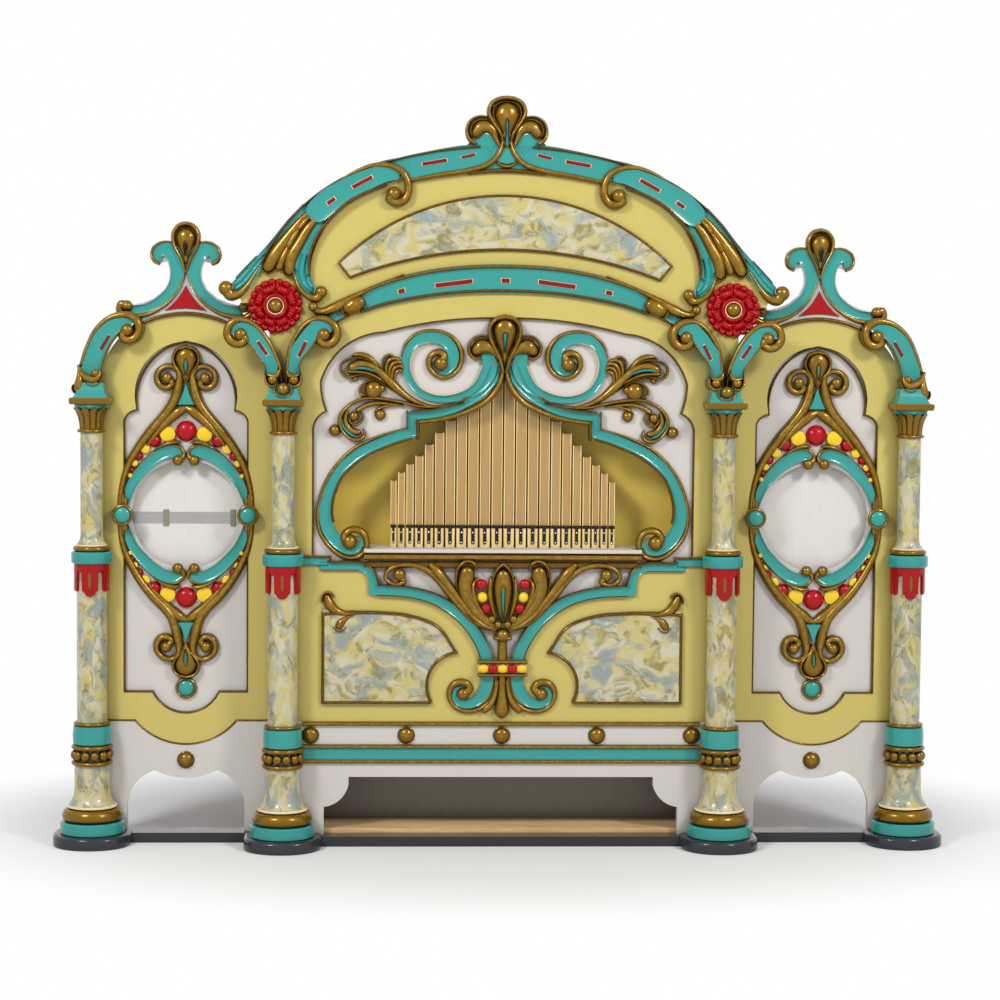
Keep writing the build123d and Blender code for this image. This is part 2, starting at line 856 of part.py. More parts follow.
def consoles():
    """Scrolled consoles that spring from the column heads and follow the arches."""
    outer_face, outer_ball = console(outer_column_x - console_width / 4, -1)
    wing_side_face, wing_side_ball = console(inner_column_x, 1)
    middle_face, middle_ball = console(inner_column_x, -1)
    with BuildPart() as right_side:
        add(carving([outer_face], wing_face, column_standoff, [outer_ball]))
        add(carving([wing_side_face, middle_face], centre_face, column_standoff,
                    [wing_side_ball, middle_ball]))
        split(bisect_by=Plane.XY.offset(abacus_top + capital_block_height), keep=Keep.TOP)
    with BuildPart() as pieces:
        add(both_sides(right_side.part))
    finish(pieces, "consoles")


def rosettes():
    """Two scalloped rosettes on the shoulders of the head board."""
    with BuildPart() as flower:
        with BuildSketch(front(centre_face)):
            Circle(rosette_radius * 0.82)
            with PolarLocations(rosette_radius * 0.74, 10):
                Circle(rosette_radius * 0.26)
        extrude(amount=carving_depth)
        with BuildSketch(front(centre_face - carving_depth)):
            Circle(rosette_radius * 0.45)
        extrude(amount=carving_depth * 0.5)
        with Locations((0, centre_face - carving_depth * 1.5, 0)):
            Sphere(rosette_radius * 0.3)
        split(bisect_by=front(centre_face), keep=Keep.TOP)
    with BuildPart() as pieces:
        add([flower.part.moved(Location((side * rosette_x, 0, rosette_z))) for side in (-1, 1)])
    finish(pieces, "rosettes")


def opening_scrolls():
    """Turquoise scrolled frame round the pipe opening, with the crest over it."""
    bulb = band([(0, opening_peak + 4), (0, 1480), (0, 1530)], [36, 84], 4)
    leaf = band([(10, 1440), (50, 1470), (96, 1482)], [50, 44], 6)
    crest_faces = [bulb] + mirrored([leaf])
    finish_carving("opening_crest", crest_faces, centre_field_face,
                   carving_depth + 2 * frame_thickness, [(0, 1518, 42), (92, 1476, 24)])
    upper = band([(18, 1402), (64, 1345), (150, 1305), (opening_step_x + 14, opening_step_z + 20)],
                 [60, 36], 8)
    step = band([(opening_step_x + 12, opening_step_z + 36),
                 (opening_step_x + 12, opening_step_z - opening_step - 8)], [34, 34], 2)
    side = band([(opening_step_x - 4, opening_step_z - opening_step + 12), (400, 1180), (500, 1095),
                 (opening_half + 2, 1000), (512, 920), (462, 874), (420, 905), (437, 944)],
                [34, 22], 16)
    loop = band(scroll((214, 1438), 92, 62, -160, 310), [32, 24], 14)
    link = band([(26, 1424), (90, 1372), (150, 1368)], [56, 30], 6)
    faces = mirrored([upper, step, side, loop, link])
    finish_carving("opening_scrolls", faces, centre_field_face, carving_depth + frame_thickness,
                   [(188, 1428, 23), (457, 912, 24)], crest_faces)
    return faces


def foliage(scroll_faces):
    """Leaf sprays on both sides of the opening's scrolls."""
    plume = band([(220, 1330), (320, 1368), (400, 1428), (446, 1434)], [24, 56], 8)
    branch = band([(210, 1310), (300, 1326), (400, 1332), (470, 1290), (476, 1240), (430, 1215)],
                  [20, 34], 12)
    sprig = band([(306, 1340), (335, 1400), (336, 1440)], [24, 46], 6)
    balls = [(458, 1424, 24), (383, 1354, 27), (368, 1272, 18), (441, 1273, 22), (494, 1230, 20)]
    finish_carving("foliage", mirrored([plume, branch, sprig]), centre_field_face,
                   carving_depth, balls, scroll_faces)


def ledge_front():
    """Face that the ledge and its moulding cover on the front."""
    with BuildSketch() as face:
        with Locations((0, ledge_top)):
            Rectangle(2 * ledge_moulding_half + 2 * seat_gap,
                      2 * (ledge_height + ledge_moulding_height))
    return face.sketch


def palmette():
    """Clasp, palmette vase above it and pendant below it; returns its faces."""
    clasp_mid = clasp_top - clasp_height / 2
    clasp = band([(-clasp_half, clasp_mid), (clasp_half, clasp_mid)],
                 [clasp_height, clasp_height], 2)
    stem = band([(0, clasp_top - 10), (0, 640)], [36, 30], 2)
    leaf = band([(0, 640), (0, 740), (0, 838)], [70, 50], 6)
    side = band([(10, 640), (80, 720), (88, 830)], [60, 60], 6)
    arm = band([(20, 640), (110, 740), (200, 816), (270, 826), (300, 806)], [60, 24], 10)
    pendant = band([(0, clasp_top - clasp_height + 5), (0, 400)], [30, 60], 3)
    faces = [clasp, stem, leaf, pendant] + mirrored([side, arm])
    finish_carving("palmette", faces, centre_face, carving_depth + 6,
                   [(0, 396, 26), (304, 803, 20)], [ledge_front()])
    return faces


def ribbon(palmette_faces):
    """Turquoise ribbon swept down from the inner columns to the clasp, and its scrolls."""
    column_edge = inner_column_x - mid_ring_radius - seat_gap
    start = band([(column_edge, 862), (510, 862)], [ribbon_width, ribbon_width], 2)
    flat = band([(516, 838), (ribbon_turn_x, 836)], [ribbon_width - 6, ribbon_width - 6], 2)
    drop = band([(516, 838), (516, 862)], [ribbon_width - 6, ribbon_width - 6], 2)
    turn = band([(ribbon_turn_x + 8, 836), (384, 816), (ribbon_heel_x - 10, 752)],
                [ribbon_width, ribbon_width], 6)
    sweep = band([(ribbon_heel_x + 6, 764), (ribbon_sweep_x, 758), (147, 706), (66, 630),
                  (ribbon_waist_x + 4, clasp_top)], [ribbon_width, ribbon_width], 10)
    tail = band([(ribbon_waist_x, clasp_top - clasp_height), (50, 440), (100, 414),
                 (146, 446), (122, 490)], [ribbon_width, 20], 10)
    finish_carving("ribbon", mirrored([start, flat, drop, turn, sweep, tail]), centre_face,
                   carving_depth - 4, [(112, 456, 22)], palmette_faces + [ledge_front()])


def marble_panels():
    """Marbled panels on both sides below the ribbon."""
    with BuildPart() as panels:
        with BuildSketch(front(centre_face)):
            with BuildLine():
                Line((marble_inner_x, marble_bottom), (marble_outer_x, marble_bottom))
                Line((marble_outer_x, marble_bottom), (marble_outer_x, marble_top + 10))
                Spline((marble_outer_x, marble_top + 10), (448, marble_top), (274, 683),
                       (191, 650), (138, 576))
                SagittaArc((138, 576), (marble_inner_x, marble_bottom), 44)
            make_face()
            mirror(about=Plane.YZ)
        extrude(amount=field_thickness)
    finish(panels, "marble_panels")


def belt_and_mouldings():
    """Gold and turquoise lines of the belt and the gold line under the wing boards."""
    strip_half = inner_column_x - band_radius - 4
    with BuildPart() as lines:
        with BuildSketch(front(centre_face)):
            for z, height in ((belt_top - gold_line / 2, gold_line),
                              (belt_bottom - gold_line / 2, gold_line),
                              (apron_top + gold_line / 2, gold_line)):
                with Locations((0, z)):
                    Rectangle(2 * strip_half, height)
        extrude(amount=belt_line_thickness)
        with BuildSketch(front(centre_face)):
            middle = (belt_bottom - gold_line + apron_top + gold_line) / 2
            with Locations((0, middle)):
                Rectangle(2 * strip_half, belt_bottom - apron_top - 2 * gold_line)
        extrude(amount=belt_line_thickness * 0.7)
    finish(lines, "belt_mouldings")


def knobs():
    """Gilt knobs along the belt and one on each wing apron."""
    belt_z = (belt_top - gold_line + belt_bottom) / 2
    apron_z = wing_gap_cusp_z + (wing_board_bottom - wing_lobe_drop - wing_gap_cusp_z) * 0.4
    along = [(x * knob_spacing, belt_z, knob_radius) for x in range(-2, 3)]
    low = [(side * wing_axis_x, apron_z, knob_radius) for side in (-1, 1)]
    with BuildPart() as pieces:
        add(domes(along, centre_face))
        add(domes(low, wing_face))
    finish(pieces, "knobs")


def gem_places():
    """Gems above and below a drum opening, largest on the axis; right half as (x, z, radius)."""
    places = []
    angle = 0.0
    for before, radius in zip((0.0, *gem_radii), gem_radii):
        if before:
            angle += (before + gem_gap + radius) / gem_ring_radius
        reach_x = gem_ring_radius * sin(angle)
        reach_z = gem_ring_lift + gem_ring_radius * cos(angle)
        for up in (-1, 1):
            places.append((reach_x, drum_opening_z + up * reach_z, radius))
    return places


def gems():
    """Round gems over and under each drum opening and along the clasp."""
    one_side = gem_places()
    both = one_side + [(-x, z, r) for x, z, r in one_side if x > 1]
    clasp_mid = clasp_top - clasp_height / 2
    row = [(x * clasp_half * 0.38, clasp_mid, clasp_height * 0.24) for x in range(-2, 3)]
    with BuildPart() as pieces:
        for side in (-1, 1):
            add(domes([(side * wing_axis_x + x, z, r) for x, z, r in both], wing_field_face))
        add(domes(row, centre_face - carving_depth - 6))
    finish(pieces, "gems")


def buttons():
    """Round buttons at both sides of each drum opening and below it."""
    with BuildPart() as button:
        with BuildSketch(front(0)):
            Circle(button_radius)
        extrude(amount=button_rim)
        add(domes([(0, 0, button_radius * 0.75)], -button_rim))
    stand = wing_face - carving_depth
    with BuildPart() as pieces:
        for side in (-1, 1):
            for x in (-button_reach, button_reach):
                place = (side * wing_axis_x + x, stand, drum_opening_z)
                add(button.part.moved(Location(place)))
            place = (side * wing_axis_x, wing_field_face, wing_field_bottom + button_lift)
            add(button.part.moved(Location(place)))
    finish(pieces, "buttons")


def wing_carvings(boards):
    """Gilt frame with its scrolls and crescents round each drum opening."""
    z = drum_opening_z
    half = drum_frame_half
    tall = drum_frame_rise
    side = band([(0, z + tall), (half * 0.47, z + tall * 0.78), (half * 0.81, z + tall * 0.52),
                 (half * 0.96, z + tall * 0.25), (half, z), (half * 0.96, z - tall * 0.25),
                 (half * 0.81, z - tall * 0.5), (half * 0.51, z - tall * 0.74),
                 (0, z - tall)], [drum_frame_width, drum_frame_width], 18)
    ring = drum_opening_radius + 14
    crescent_top = band(scroll((0, z), ring, ring, 6, 76), [26, 18], 8)
    crescent_low = band(scroll((0, z), ring, ring, -6, -76), [26, 18], 8)
    pad = band([(ring, z), (half + 8, z)], [2 * button_radius, 2 * button_radius], 2)
    head = wing_field_top - 32
    foot = wing_field_bottom + 88
    fleur = band([(0, z + tall - 26), (0, head - 55), (0, head)], [2 * fleur_width, fleur_width], 4)
    fleur_low = band([(0, z - tall + 26), (0, foot + 60), (0, foot)],
                     [2 * fleur_width, fleur_width], 4)
    curl = band([(10, head - 115), (44, head - 85), (fleur_reach, head - 55)],
                [fleur_width, fleur_width], 5)
    curl_low = band([(10, foot + 110), (44, foot + 88), (fleur_reach, foot + 60)],
                    [fleur_width, fleur_width], 5)
    faces = [fleur, fleur_low] + mirrored([side, crescent_top, crescent_low, pad, curl, curl_low])
    gem_holes = []
    for x, gem_z, radius in gem_places():
        with BuildSketch() as hole:
            with Locations((x, gem_z), (-x, gem_z)):
                Circle(radius + 0.5)
        gem_holes.append(hole.sketch)
    balls = [(0, head - 14, fleur_ball + 9), (0, foot + 10, fleur_ball + 7)]
    for x in (-fleur_reach, fleur_reach):
        balls += [(x, head - 51, fleur_ball), (x, foot + 54, fleur_ball)]
    one = carving(faces, wing_field_face, carving_depth + frame_thickness, balls, gem_holes)
    with BuildPart() as pieces:
        add([one.moved(Location((side * wing_axis_x, 0, 0))) for side in (-1, 1)])
        add(boards, mode=Mode.SUBTRACT)
    finish(pieces, "wing_carvings")


def case():
    """Plain boarded case behind the middle, closed at the sides, back, top and bottom."""
    depth = back_face - centre_back
    mid_y = (back_face + centre_back) / 2
    with BuildPart() as sides:
        for side in (-1, 1):
            with BuildSketch(Plane.XY):
                with Locations((side * (case_half - case_board / 2), mid_y)):
                    Rectangle(case_board, depth)
        extrude(amount=case_height)
    finish(sides, "case_sides")
    inside = case_half - case_board
    with BuildPart() as back:
        with BuildSketch(Plane.XY):
            with Locations((0, back_face - case_board / 2)):
                Rectangle(2 * inside, case_board)
        extrude(amount=case_height)
    finish(back, "case_back")
    with BuildPart() as top:
        with BuildSketch(Plane.XY.offset(case_height - case_board)):
            with Locations((0, mid_y - case_board / 2)):
                Rectangle(2 * inside, depth - case_board)
        extrude(amount=case_board)
    finish(top, "case_top")
    with BuildPart() as floor:
        with BuildSketch(Plane.XY.offset(floor_board_z - floor_board_thickness)):
            with Locations((0, mid_y - case_board / 2)):
                Rectangle(2 * inside, depth - case_board)
        extrude(amount=floor_board_thickness)
    finish(floor, "case_floor")
    with BuildPart() as guard:
        with BuildSketch(front(centre_face + compartment_depth + case_board)):
            with Locations((0, (floor_board_z + apron_top + 60) / 2)):
                Rectangle(2 * inside, apron_top + 60 - floor_board_z)
        extrude(amount=case_board)
    finish(guard, "compartment_back")


def niche():
    """Back board, ledge and pipes in the opening."""
    inside = case_half - case_board
    with BuildPart() as back:
        with BuildSketch(front(niche_face + panel_thickness)):
            with Locations((0, (ledge_top + case_height - case_board) / 2)):
                Rectangle(2 * inside, case_height - case_board - ledge_top)
        extrude(amount=panel_thickness)
    finish(back, "niche_back")
    with BuildPart() as ledge:
        with BuildSketch(Plane.XY.offset(ledge_top - ledge_height)):
            with Locations((0, (centre_back + niche_face + panel_thickness) / 2)):
                Rectangle(2 * inside, niche_face + panel_thickness - centre_back)
        extrude(amount=ledge_height)
    finish(ledge, "pipe_ledge")
    with BuildPart() as moulding:
        with BuildSketch(front(centre_field_face)):
            with Locations((0, ledge_top - ledge_height - ledge_moulding_height / 2)):
                Rectangle(2 * ledge_moulding_half, ledge_moulding_height)
        extrude(amount=ledge_moulding_reach)
    finish(moulding, "ledge_moulding")


def pipes():
    """Row of square wooden pipes, tallest in the middle, with their mouth caps."""
    widths = [20 + 16 * sin(pi * (i + 0.5) / pipe_count) for i in range(pipe_count)]
    scale = (2 * pipe_row_half - pipe_gap * (pipe_count - 1)) / sum(widths)
    pipe_y = centre_face + pipe_setback
    with BuildPart() as row:
        x = -pipe_row_half
        for i, width in enumerate(widths):
            wide = width * scale
            rise = 1 - abs(i - (pipe_count - 1) / 2) / ((pipe_count - 1) / 2)
            height = pipe_shortest + (pipe_longest - pipe_shortest) * rise
            with Locations((x + wide / 2, pipe_y + pipe_depth / 2, ledge_top + height / 2)):
                Box(wide, pipe_depth, height)
            x += wide + pipe_gap
    finish(row, "pipes")
    with BuildPart() as mouths:
        x = -pipe_row_half
        for width in widths:
            wide = width * scale
            with Locations((x + wide / 2, pipe_y - pipe_mouth_thickness / 2,
                            ledge_top + pipe_mouth_z + pipe_mouth_height / 2)):
                Box(wide - 2, pipe_mouth_thickness, pipe_mouth_height)
            x += wide + pipe_gap
    finish(mouths, "pipe_mouths")


def drums():
    """Snare drum behind the left opening and bass drum behind the right one."""
    hoops = []
    heads = []
    shelves = []
    for label, side, radius, depth in (("snare_drum", -1, snare_radius, snare_depth),
                                       ("bass_drum", 1, bass_radius, bass_depth)):
        x = side * wing_axis_x
        near = wing_back + drum_gap
        outside = radius + hoop_thickness
        with BuildPart() as shell:
            with BuildSketch(front(near + depth)):
                with Locations((x, drum_opening_z)):
                    Circle(radius)
                    Circle(radius - hoop_thickness, mode=Mode.SUBTRACT)
            extrude(amount=depth)
        finish(shell, label)
        for y in (near + hoop_height, near + depth):
            with BuildPart() as hoop:
                with BuildSketch(front(y)):
                    with Locations((x, drum_opening_z)):
                        Circle(outside)
                        Circle(radius, mode=Mode.SUBTRACT)
                extrude(amount=hoop_height)
            hoops.append(hoop.part)
        for y in (near, near + depth + head_thickness):
            with BuildPart() as head:
                with BuildSketch(front(y)):
                    with Locations((x, drum_opening_z)):
                        Circle(radius)
                extrude(amount=head_thickness)
            heads.append(head.part)
        shelf_z = drum_opening_z - outside - shelf_thickness
        shelf_far = near + depth + drum_gap
        with BuildPart() as shelf:
            with BuildSketch(Plane.XY.offset(shelf_z)):
                with Locations((side * (wing_inner + wing_outer) / 2, (wing_back + shelf_far) / 2)):
                    Rectangle(wing_outer - wing_inner, shelf_far - wing_back)
            extrude(amount=shelf_thickness)
            for y in (near + hoop_height + 2 * hoop_thickness + bearer_thickness,
                      near + depth - hoop_height - 2 * hoop_thickness):
                with BuildSketch(front(y)):
                    with Locations((x, shelf_z + shelf_thickness + bearer_rise / 2)):
                        Rectangle(radius * 1.4, bearer_rise)
                    with Locations((x, drum_opening_z)):
                        Circle(radius, mode=Mode.SUBTRACT)
                extrude(amount=bearer_thickness)
        shelves.append(shelf.part)
    with BuildPart() as strip:
        with BuildSketch(front(wing_back + drum_gap - head_thickness)):
            with Locations((-wing_axis_x, drum_opening_z + snare_strip_lift)):
                Rectangle(2 * snare_radius, snare_strip_height)
        extrude(amount=snare_strip_thickness)
    finish(strip, "snare_strip")
    for label, parts in (("drum_hoops", hoops), ("drum_heads", heads), ("drum_shelves", shelves)):
        with BuildPart() as pieces:
            add(parts)
        finish(pieces, label)


plinth()
column_parts()
drop_bands()
capitals()
aprons()
wing_boards_made = wing_boards()
centre_boards()
pediment()
crest_made = crest()
arches(crest_made)
wing_crests()
consoles()
rosettes()
scrolls_made = opening_scrolls()
foliage(scrolls_made)
palmette_made = palmette()
ribbon(palmette_made)
marble_panels()
belt_and_mouldings()
knobs()
gems()
buttons()
wing_carvings(wing_boards_made)
case()
niche()
pipes()
drums()
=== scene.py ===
"""Painted and carved looks of a fairground organ front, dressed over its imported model.

The carved pieces are drawn in millimetres on the board that carries them, as strokes that flow
along smooth lines, and stand out of that board. Everything else takes its place from the frame.
"""

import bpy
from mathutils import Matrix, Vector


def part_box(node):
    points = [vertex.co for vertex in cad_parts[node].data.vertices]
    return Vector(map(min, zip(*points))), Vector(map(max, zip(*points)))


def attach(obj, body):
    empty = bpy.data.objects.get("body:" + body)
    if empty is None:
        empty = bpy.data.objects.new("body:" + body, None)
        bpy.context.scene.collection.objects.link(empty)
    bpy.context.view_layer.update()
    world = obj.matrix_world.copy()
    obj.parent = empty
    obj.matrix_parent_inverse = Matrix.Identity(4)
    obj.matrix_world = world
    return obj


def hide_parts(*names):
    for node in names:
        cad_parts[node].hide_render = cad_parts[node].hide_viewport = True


bl_info = {
    "name": "Fairground organ front",
    "version": (1, 0, 0),
    "blender": (4, 5, 0),
    "location": "View3D > Sidebar > Organ",
    "description": "Carved ornament, turned columns, pipes and painted finishes of an organ front",
    "category": "Object",
}

from math import atan2, cos, pi, radians, sin, sqrt

import bmesh
import bpy
import numpy as np
from bpy.props import FloatProperty, FloatVectorProperty, IntProperty, PointerProperty
from mathutils import Matrix, Vector

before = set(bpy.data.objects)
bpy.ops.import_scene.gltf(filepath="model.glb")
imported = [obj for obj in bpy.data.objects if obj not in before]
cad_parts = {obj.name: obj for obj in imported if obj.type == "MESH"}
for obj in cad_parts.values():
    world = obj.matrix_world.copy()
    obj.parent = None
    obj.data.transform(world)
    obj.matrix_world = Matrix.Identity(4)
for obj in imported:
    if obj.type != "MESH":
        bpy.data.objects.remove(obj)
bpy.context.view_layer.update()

MM = 0.001


def srgb(red, green, blue):
    """Linear colour from a screen colour of 0 to 255."""
    parts = [value / 255 for value in (red, green, blue)]
    return tuple(v / 12.92 if v <= 0.04045 else ((v + 0.055) / 1.055) ** 2.4 for v in parts)


def node_box(node):
    """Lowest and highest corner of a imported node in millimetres."""
    low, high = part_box(node)
    return low / MM, high / MM


def solids_of(node):
    """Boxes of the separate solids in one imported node, in millimetres, from left to right."""
    grid = bmesh.new()
    grid.from_mesh(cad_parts[node].data)
    bmesh.ops.remove_doubles(grid, verts=grid.verts, dist=1e-6)
    boxes = []
    waiting = set(grid.verts)
    while waiting:
        island = []
        reach = [waiting.pop()]
        while reach:
            vert = reach.pop()
            island.append(vert.co)
            for edge in vert.link_edges:
                other = edge.other_vert(vert)
                if other in waiting:
                    waiting.remove(other)
                    reach.append(other)
        spots = np.array(island) / MM
        boxes.append((spots.min(0), spots.max(0)))
    grid.free()
    return sorted(boxes, key=lambda box: round(box[0][0] + box[1][0]))


def disc_of(low, high):
    """Middle, as x and z, and radius of a round piece from its box."""
    return (low[0] + high[0]) / 2, (low[2] + high[2]) / 2, (high[0] - low[0]) / 2


WING_FACE = node_box("wing_board_right")[0].y
WING_FIELD_FACE = node_box("wing_panel_right")[0].y
CENTRE_FACE = node_box("centre_board")[0].y
CENTRE_FIELD_FACE = node_box("centre_panel")[0].y
HEAD_FACE = node_box("pediment_board")[0].y
DRUM_LOW, DRUM_HIGH = node_box("bass_drum")
WING_AXIS = (DRUM_LOW.x + DRUM_HIGH.x) / 2
DRUM_Z = (DRUM_LOW.z + DRUM_HIGH.z) / 2
BOARD_STEP = WING_FIELD_FACE - WING_FACE


class CarvingSettings(bpy.types.PropertyGroup):
    """Sizes of the carved work."""
    spacing: FloatProperty(name="Spacing", description="Length of one step along a stroke, in mm",
                           default=5.0, min=1.0, max=20.0)
    relief: FloatProperty(name="Relief", description="Height of a full stroke, in mm",
                          default=19.0, min=4.0, max=40.0)
    rim: FloatProperty(name="Rim", description="Width of the thin gilt edge of a band, in mm",
                       default=5.0, min=1.0, max=15.0)
    line: FloatProperty(name="Line", description="Width of the gilt line round a field, in mm",
                        default=7.0, min=2.0, max=20.0)
    round_steps: IntProperty(name="Round steps", description="Sides of a turned ball or dome",
                             default=28, min=8, max=96)


class PaintSettings(bpy.types.PropertyGroup):
    """Colours of the paints."""
    turquoise: FloatVectorProperty(name="Turquoise", description="Paint of the carved bands",
                                   subtype="COLOR", size=3, default=srgb(47, 147, 140))
    yellow: FloatVectorProperty(name="Yellow", description="Paint of the raised boards",
                                subtype="COLOR", size=3, default=srgb(196, 180, 100))
    white: FloatVectorProperty(name="White", description="Paint of the fields and aprons",
                               subtype="COLOR", size=3, default=srgb(202, 197, 191))
    gold: FloatVectorProperty(name="Gold", description="Bronze paint of the carving",
                              subtype="COLOR", size=3, default=srgb(126, 93, 12))
    red: FloatVectorProperty(name="Red", description="Gloss red of rosettes and drops",
                             subtype="COLOR", size=3, default=srgb(160, 4, 10))
    gem_yellow: FloatVectorProperty(name="Gem yellow", description="Gloss yellow of the gems",
                                    subtype="COLOR", size=3, default=srgb(232, 196, 24))
    grey: FloatVectorProperty(name="Grey", description="Paint of the pads and floor rails",
                              subtype="COLOR", size=3, default=srgb(44, 45, 51))
    pipe: FloatVectorProperty(name="Pipe", description="Wood of the pipes",
                              subtype="COLOR", size=3, default=srgb(172, 141, 88))


class StageSettings(bpy.types.PropertyGroup):
    """Camera, lamps and floor."""
    place: FloatVectorProperty(name="Camera place", description="Where the camera stands",
                               subtype="TRANSLATION", unit="LENGTH", size=3,
                               default=(-0.3293, -7.3997, 1.4667))
    yaw: FloatProperty(name="Yaw", description="Turn of the view to the right",
                       subtype="ANGLE", default=radians(2.585))
    pitch: FloatProperty(name="Pitch", description="Tilt of the view, down is negative",
                         subtype="ANGLE", default=radians(-3.557))
    roll: FloatProperty(name="Roll", description="Turn about the line of sight",
                        subtype="ANGLE", default=radians(0.491))
    lens: FloatProperty(name="Lens", description="Focal length on a 36 mm sensor",
                        subtype="DISTANCE_CAMERA", default=86.4)
    left_power: FloatProperty(name="Left lamp", description="Power of the lamp on the left",
                              subtype="POWER", default=150.0)
    right_power: FloatProperty(name="Right lamp", description="Power of the lamp on the right",
                               subtype="POWER", default=138.0)
    sky: FloatProperty(name="Sky", description="Strength of the even light from all round",
                       default=0.42)
    floor: FloatVectorProperty(name="Floor", description="Colour of the floor",
                               subtype="COLOR", size=3, default=srgb(236, 236, 236))


def carving_settings():
    return bpy.context.scene.organ_carving


def paint_settings():
    return bpy.context.scene.organ_paint


def stage_settings():
    return bpy.context.scene.organ_stage


# Node trees

def node(tree, kind, inputs=None, **settings):
    """Add a shader node, set its options, and fill or link its inputs."""
    made = tree.nodes.new(kind)
    for key, value in settings.items():
        setattr(made, key, value)
    for key, value in (inputs or {}).items():
        if isinstance(value, bpy.types.NodeSocket):
            tree.links.new(value, made.inputs[key])
        else:
            made.inputs[key].default_value = value
    return made


def arithmetic(tree, operation, first, second=0.0):
    """Output of a maths node."""
    return node(tree, "ShaderNodeMath", {0: first, 1: second}, operation=operation).outputs[0]


def times(tree, first, second):
    """One value times another."""
    return arithmetic(tree, "MULTIPLY", first, second)


def plus(tree, first, second):
    """One value and another together."""
    return arithmetic(tree, "ADD", first, second)


def less(tree, first, second):
    """One value less another."""
    return arithmetic(tree, "SUBTRACT", first, second)


def blend_colours(tree, factor, first, second, blend_type="MIX"):
    """Output of a colour mix."""
    made = node(tree, "ShaderNodeMix", data_type="RGBA", blend_type=blend_type)
    for index, value in ((0, factor), (6, first), (7, second)):
        if isinstance(value, bpy.types.NodeSocket):
            tree.links.new(value, made.inputs[index])
        else:
            made.inputs[index].default_value = value
    return made.outputs[2]


def remap(tree, value, low, high, to_low=0.0, to_high=1.0):
    """A value moved from one range to another, with soft ends."""
    return node(tree, "ShaderNodeMapRange", {0: value, 1: low, 2: high, 3: to_low, 4: to_high},
        interpolation_type="SMOOTHSTEP").outputs[0]


def noise(tree, vector, scale, detail=3.0, roughness=0.5, distortion=0.0):
    """Height of a noise over the surface."""
    return node(tree, "ShaderNodeTexNoise", {"Vector": vector, "Scale": scale, "Detail": detail,
        "Roughness": roughness, "Distortion": distortion}).outputs[0]


def stretched(tree, scale, turn=(0.0, 0.0, 0.0)):
    """Object coordinates stretched along the axes."""
    spots = node(tree, "ShaderNodeTexCoord").outputs["Object"]
    return node(tree, "ShaderNodeMapping", {"Vector": spots, "Rotation": turn,
        "Scale": scale}).outputs[0]


def shader_group(name, inputs, outputs):
    """An empty node group with its sockets; returns the tree and what it is given."""
    kinds = {"colour": "NodeSocketColor", "value": "NodeSocketFloat", "vector": "NodeSocketVector"}
    tree = bpy.data.node_groups.new(name, "ShaderNodeTree")
    for label, kind, default in inputs:
        socket = tree.interface.new_socket(name=label, in_out="INPUT", socket_type=kinds[kind])
        if default is not None:
            socket.default_value = default
    for label, kind in outputs:
        tree.interface.new_socket(name=label, in_out="OUTPUT", socket_type=kinds[kind])
    return tree, tree.nodes.new("NodeGroupInput").outputs


def crevices(tree, distance):
    """Share of a point's surroundings that is close to other surfaces; the paints use it as the mask of
    painted shade in corners.
    """
    shade = node(tree, "ShaderNodeAmbientOcclusion", {"Distance": distance}, samples=6)
    return less(tree, 1.0, shade.outputs["AO"])


def brushed_paint_group():
    """Brush streaks, uneven sheen and painted shade gathered in the corners of painted wood."""
    tree, given = shader_group("brushed_paint", [("Colour", "colour", None),
        ("Corner Shade", "colour", None), ("Streaks", "value", 0.06), ("Corner Reach", "value", 0.02),
        ("Corner Strength", "value", 0.6)], [("Colour", "colour"), ("Roughness", "value"),
        ("Height", "value")])
    streak = noise(tree, stretched(tree, (60.0, 60.0, 9.0)), 1.0, 4.0, 0.6)
    cloud = noise(tree, stretched(tree, (3.0, 3.0, 3.0)), 1.0, 3.0)
    spread = times(tree, given["Streaks"], 2.0)
    tone = plus(tree, times(tree, streak, 0.6), times(tree, cloud, 0.4))
    tone = times(tree, less(tree, tone, 0.5), spread)
    tone = plus(tree, tone, 1.0)
    bright = node(tree, "ShaderNodeHueSaturation", {"Color": given["Colour"], "Value": tone}).outputs[0]
    # Painted shade: the occlusion mask darkens the corners towards the corner shade colour.
    corner = crevices(tree, given["Corner Reach"])
    corner = remap(tree, corner, 0.22, 0.85)
    corner = times(tree, corner, given["Corner Strength"])
    colour = blend_colours(tree, corner, bright, given["Corner Shade"])
    rough = plus(tree, times(tree, cloud, 0.16), 0.2)
    node(tree, "NodeGroupOutput", {"Colour": colour, "Roughness": rough, "Height": streak})
    return tree


def bronze_paint_group():
    """Bronze paint with painted shade in the hollows and corners, a painted highlight on the crests,
    and slight mottling.
    """
    tree, given = shader_group("bronze_paint", [("Hollow Shade", "colour", None), ("Body", "colour", None),
        ("Crest", "colour", None), ("Corner Reach", "value", 0.016)], [("Colour", "colour"),
        ("Roughness", "value"), ("Height", "value")])
    # Painted light: each point's height share runs from painted shade at the foot of the carving to a
    # painted highlight on its crest.
    height = node(tree, "ShaderNodeAttribute", attribute_name="crest").outputs["Fac"]
    mottle = noise(tree, stretched(tree, (1.0, 1.0, 1.0)), 55.0, 5.0, 0.65)
    lift = plus(tree, height, times(tree, less(tree, mottle, 0.5), 0.5))
    body = blend_colours(tree, remap(tree, lift, 0.05, 0.6), given["Hollow Shade"], given["Body"])
    body = blend_colours(tree, remap(tree, lift, 0.88, 1.3, 0.0, 0.6), body, given["Crest"])
    # Painted shade in the corners, from the occlusion mask.
    corner = remap(tree, crevices(tree, given["Corner Reach"]), 0.2, 0.75, 0.0, 0.85)
    colour = blend_colours(tree, corner, body, given["Hollow Shade"])
    rough = remap(tree, mottle, 0.3, 0.7, 0.2, 0.34)
    node(tree, "NodeGroupOutput", {"Colour": colour, "Roughness": rough, "Height": mottle})
    return tree


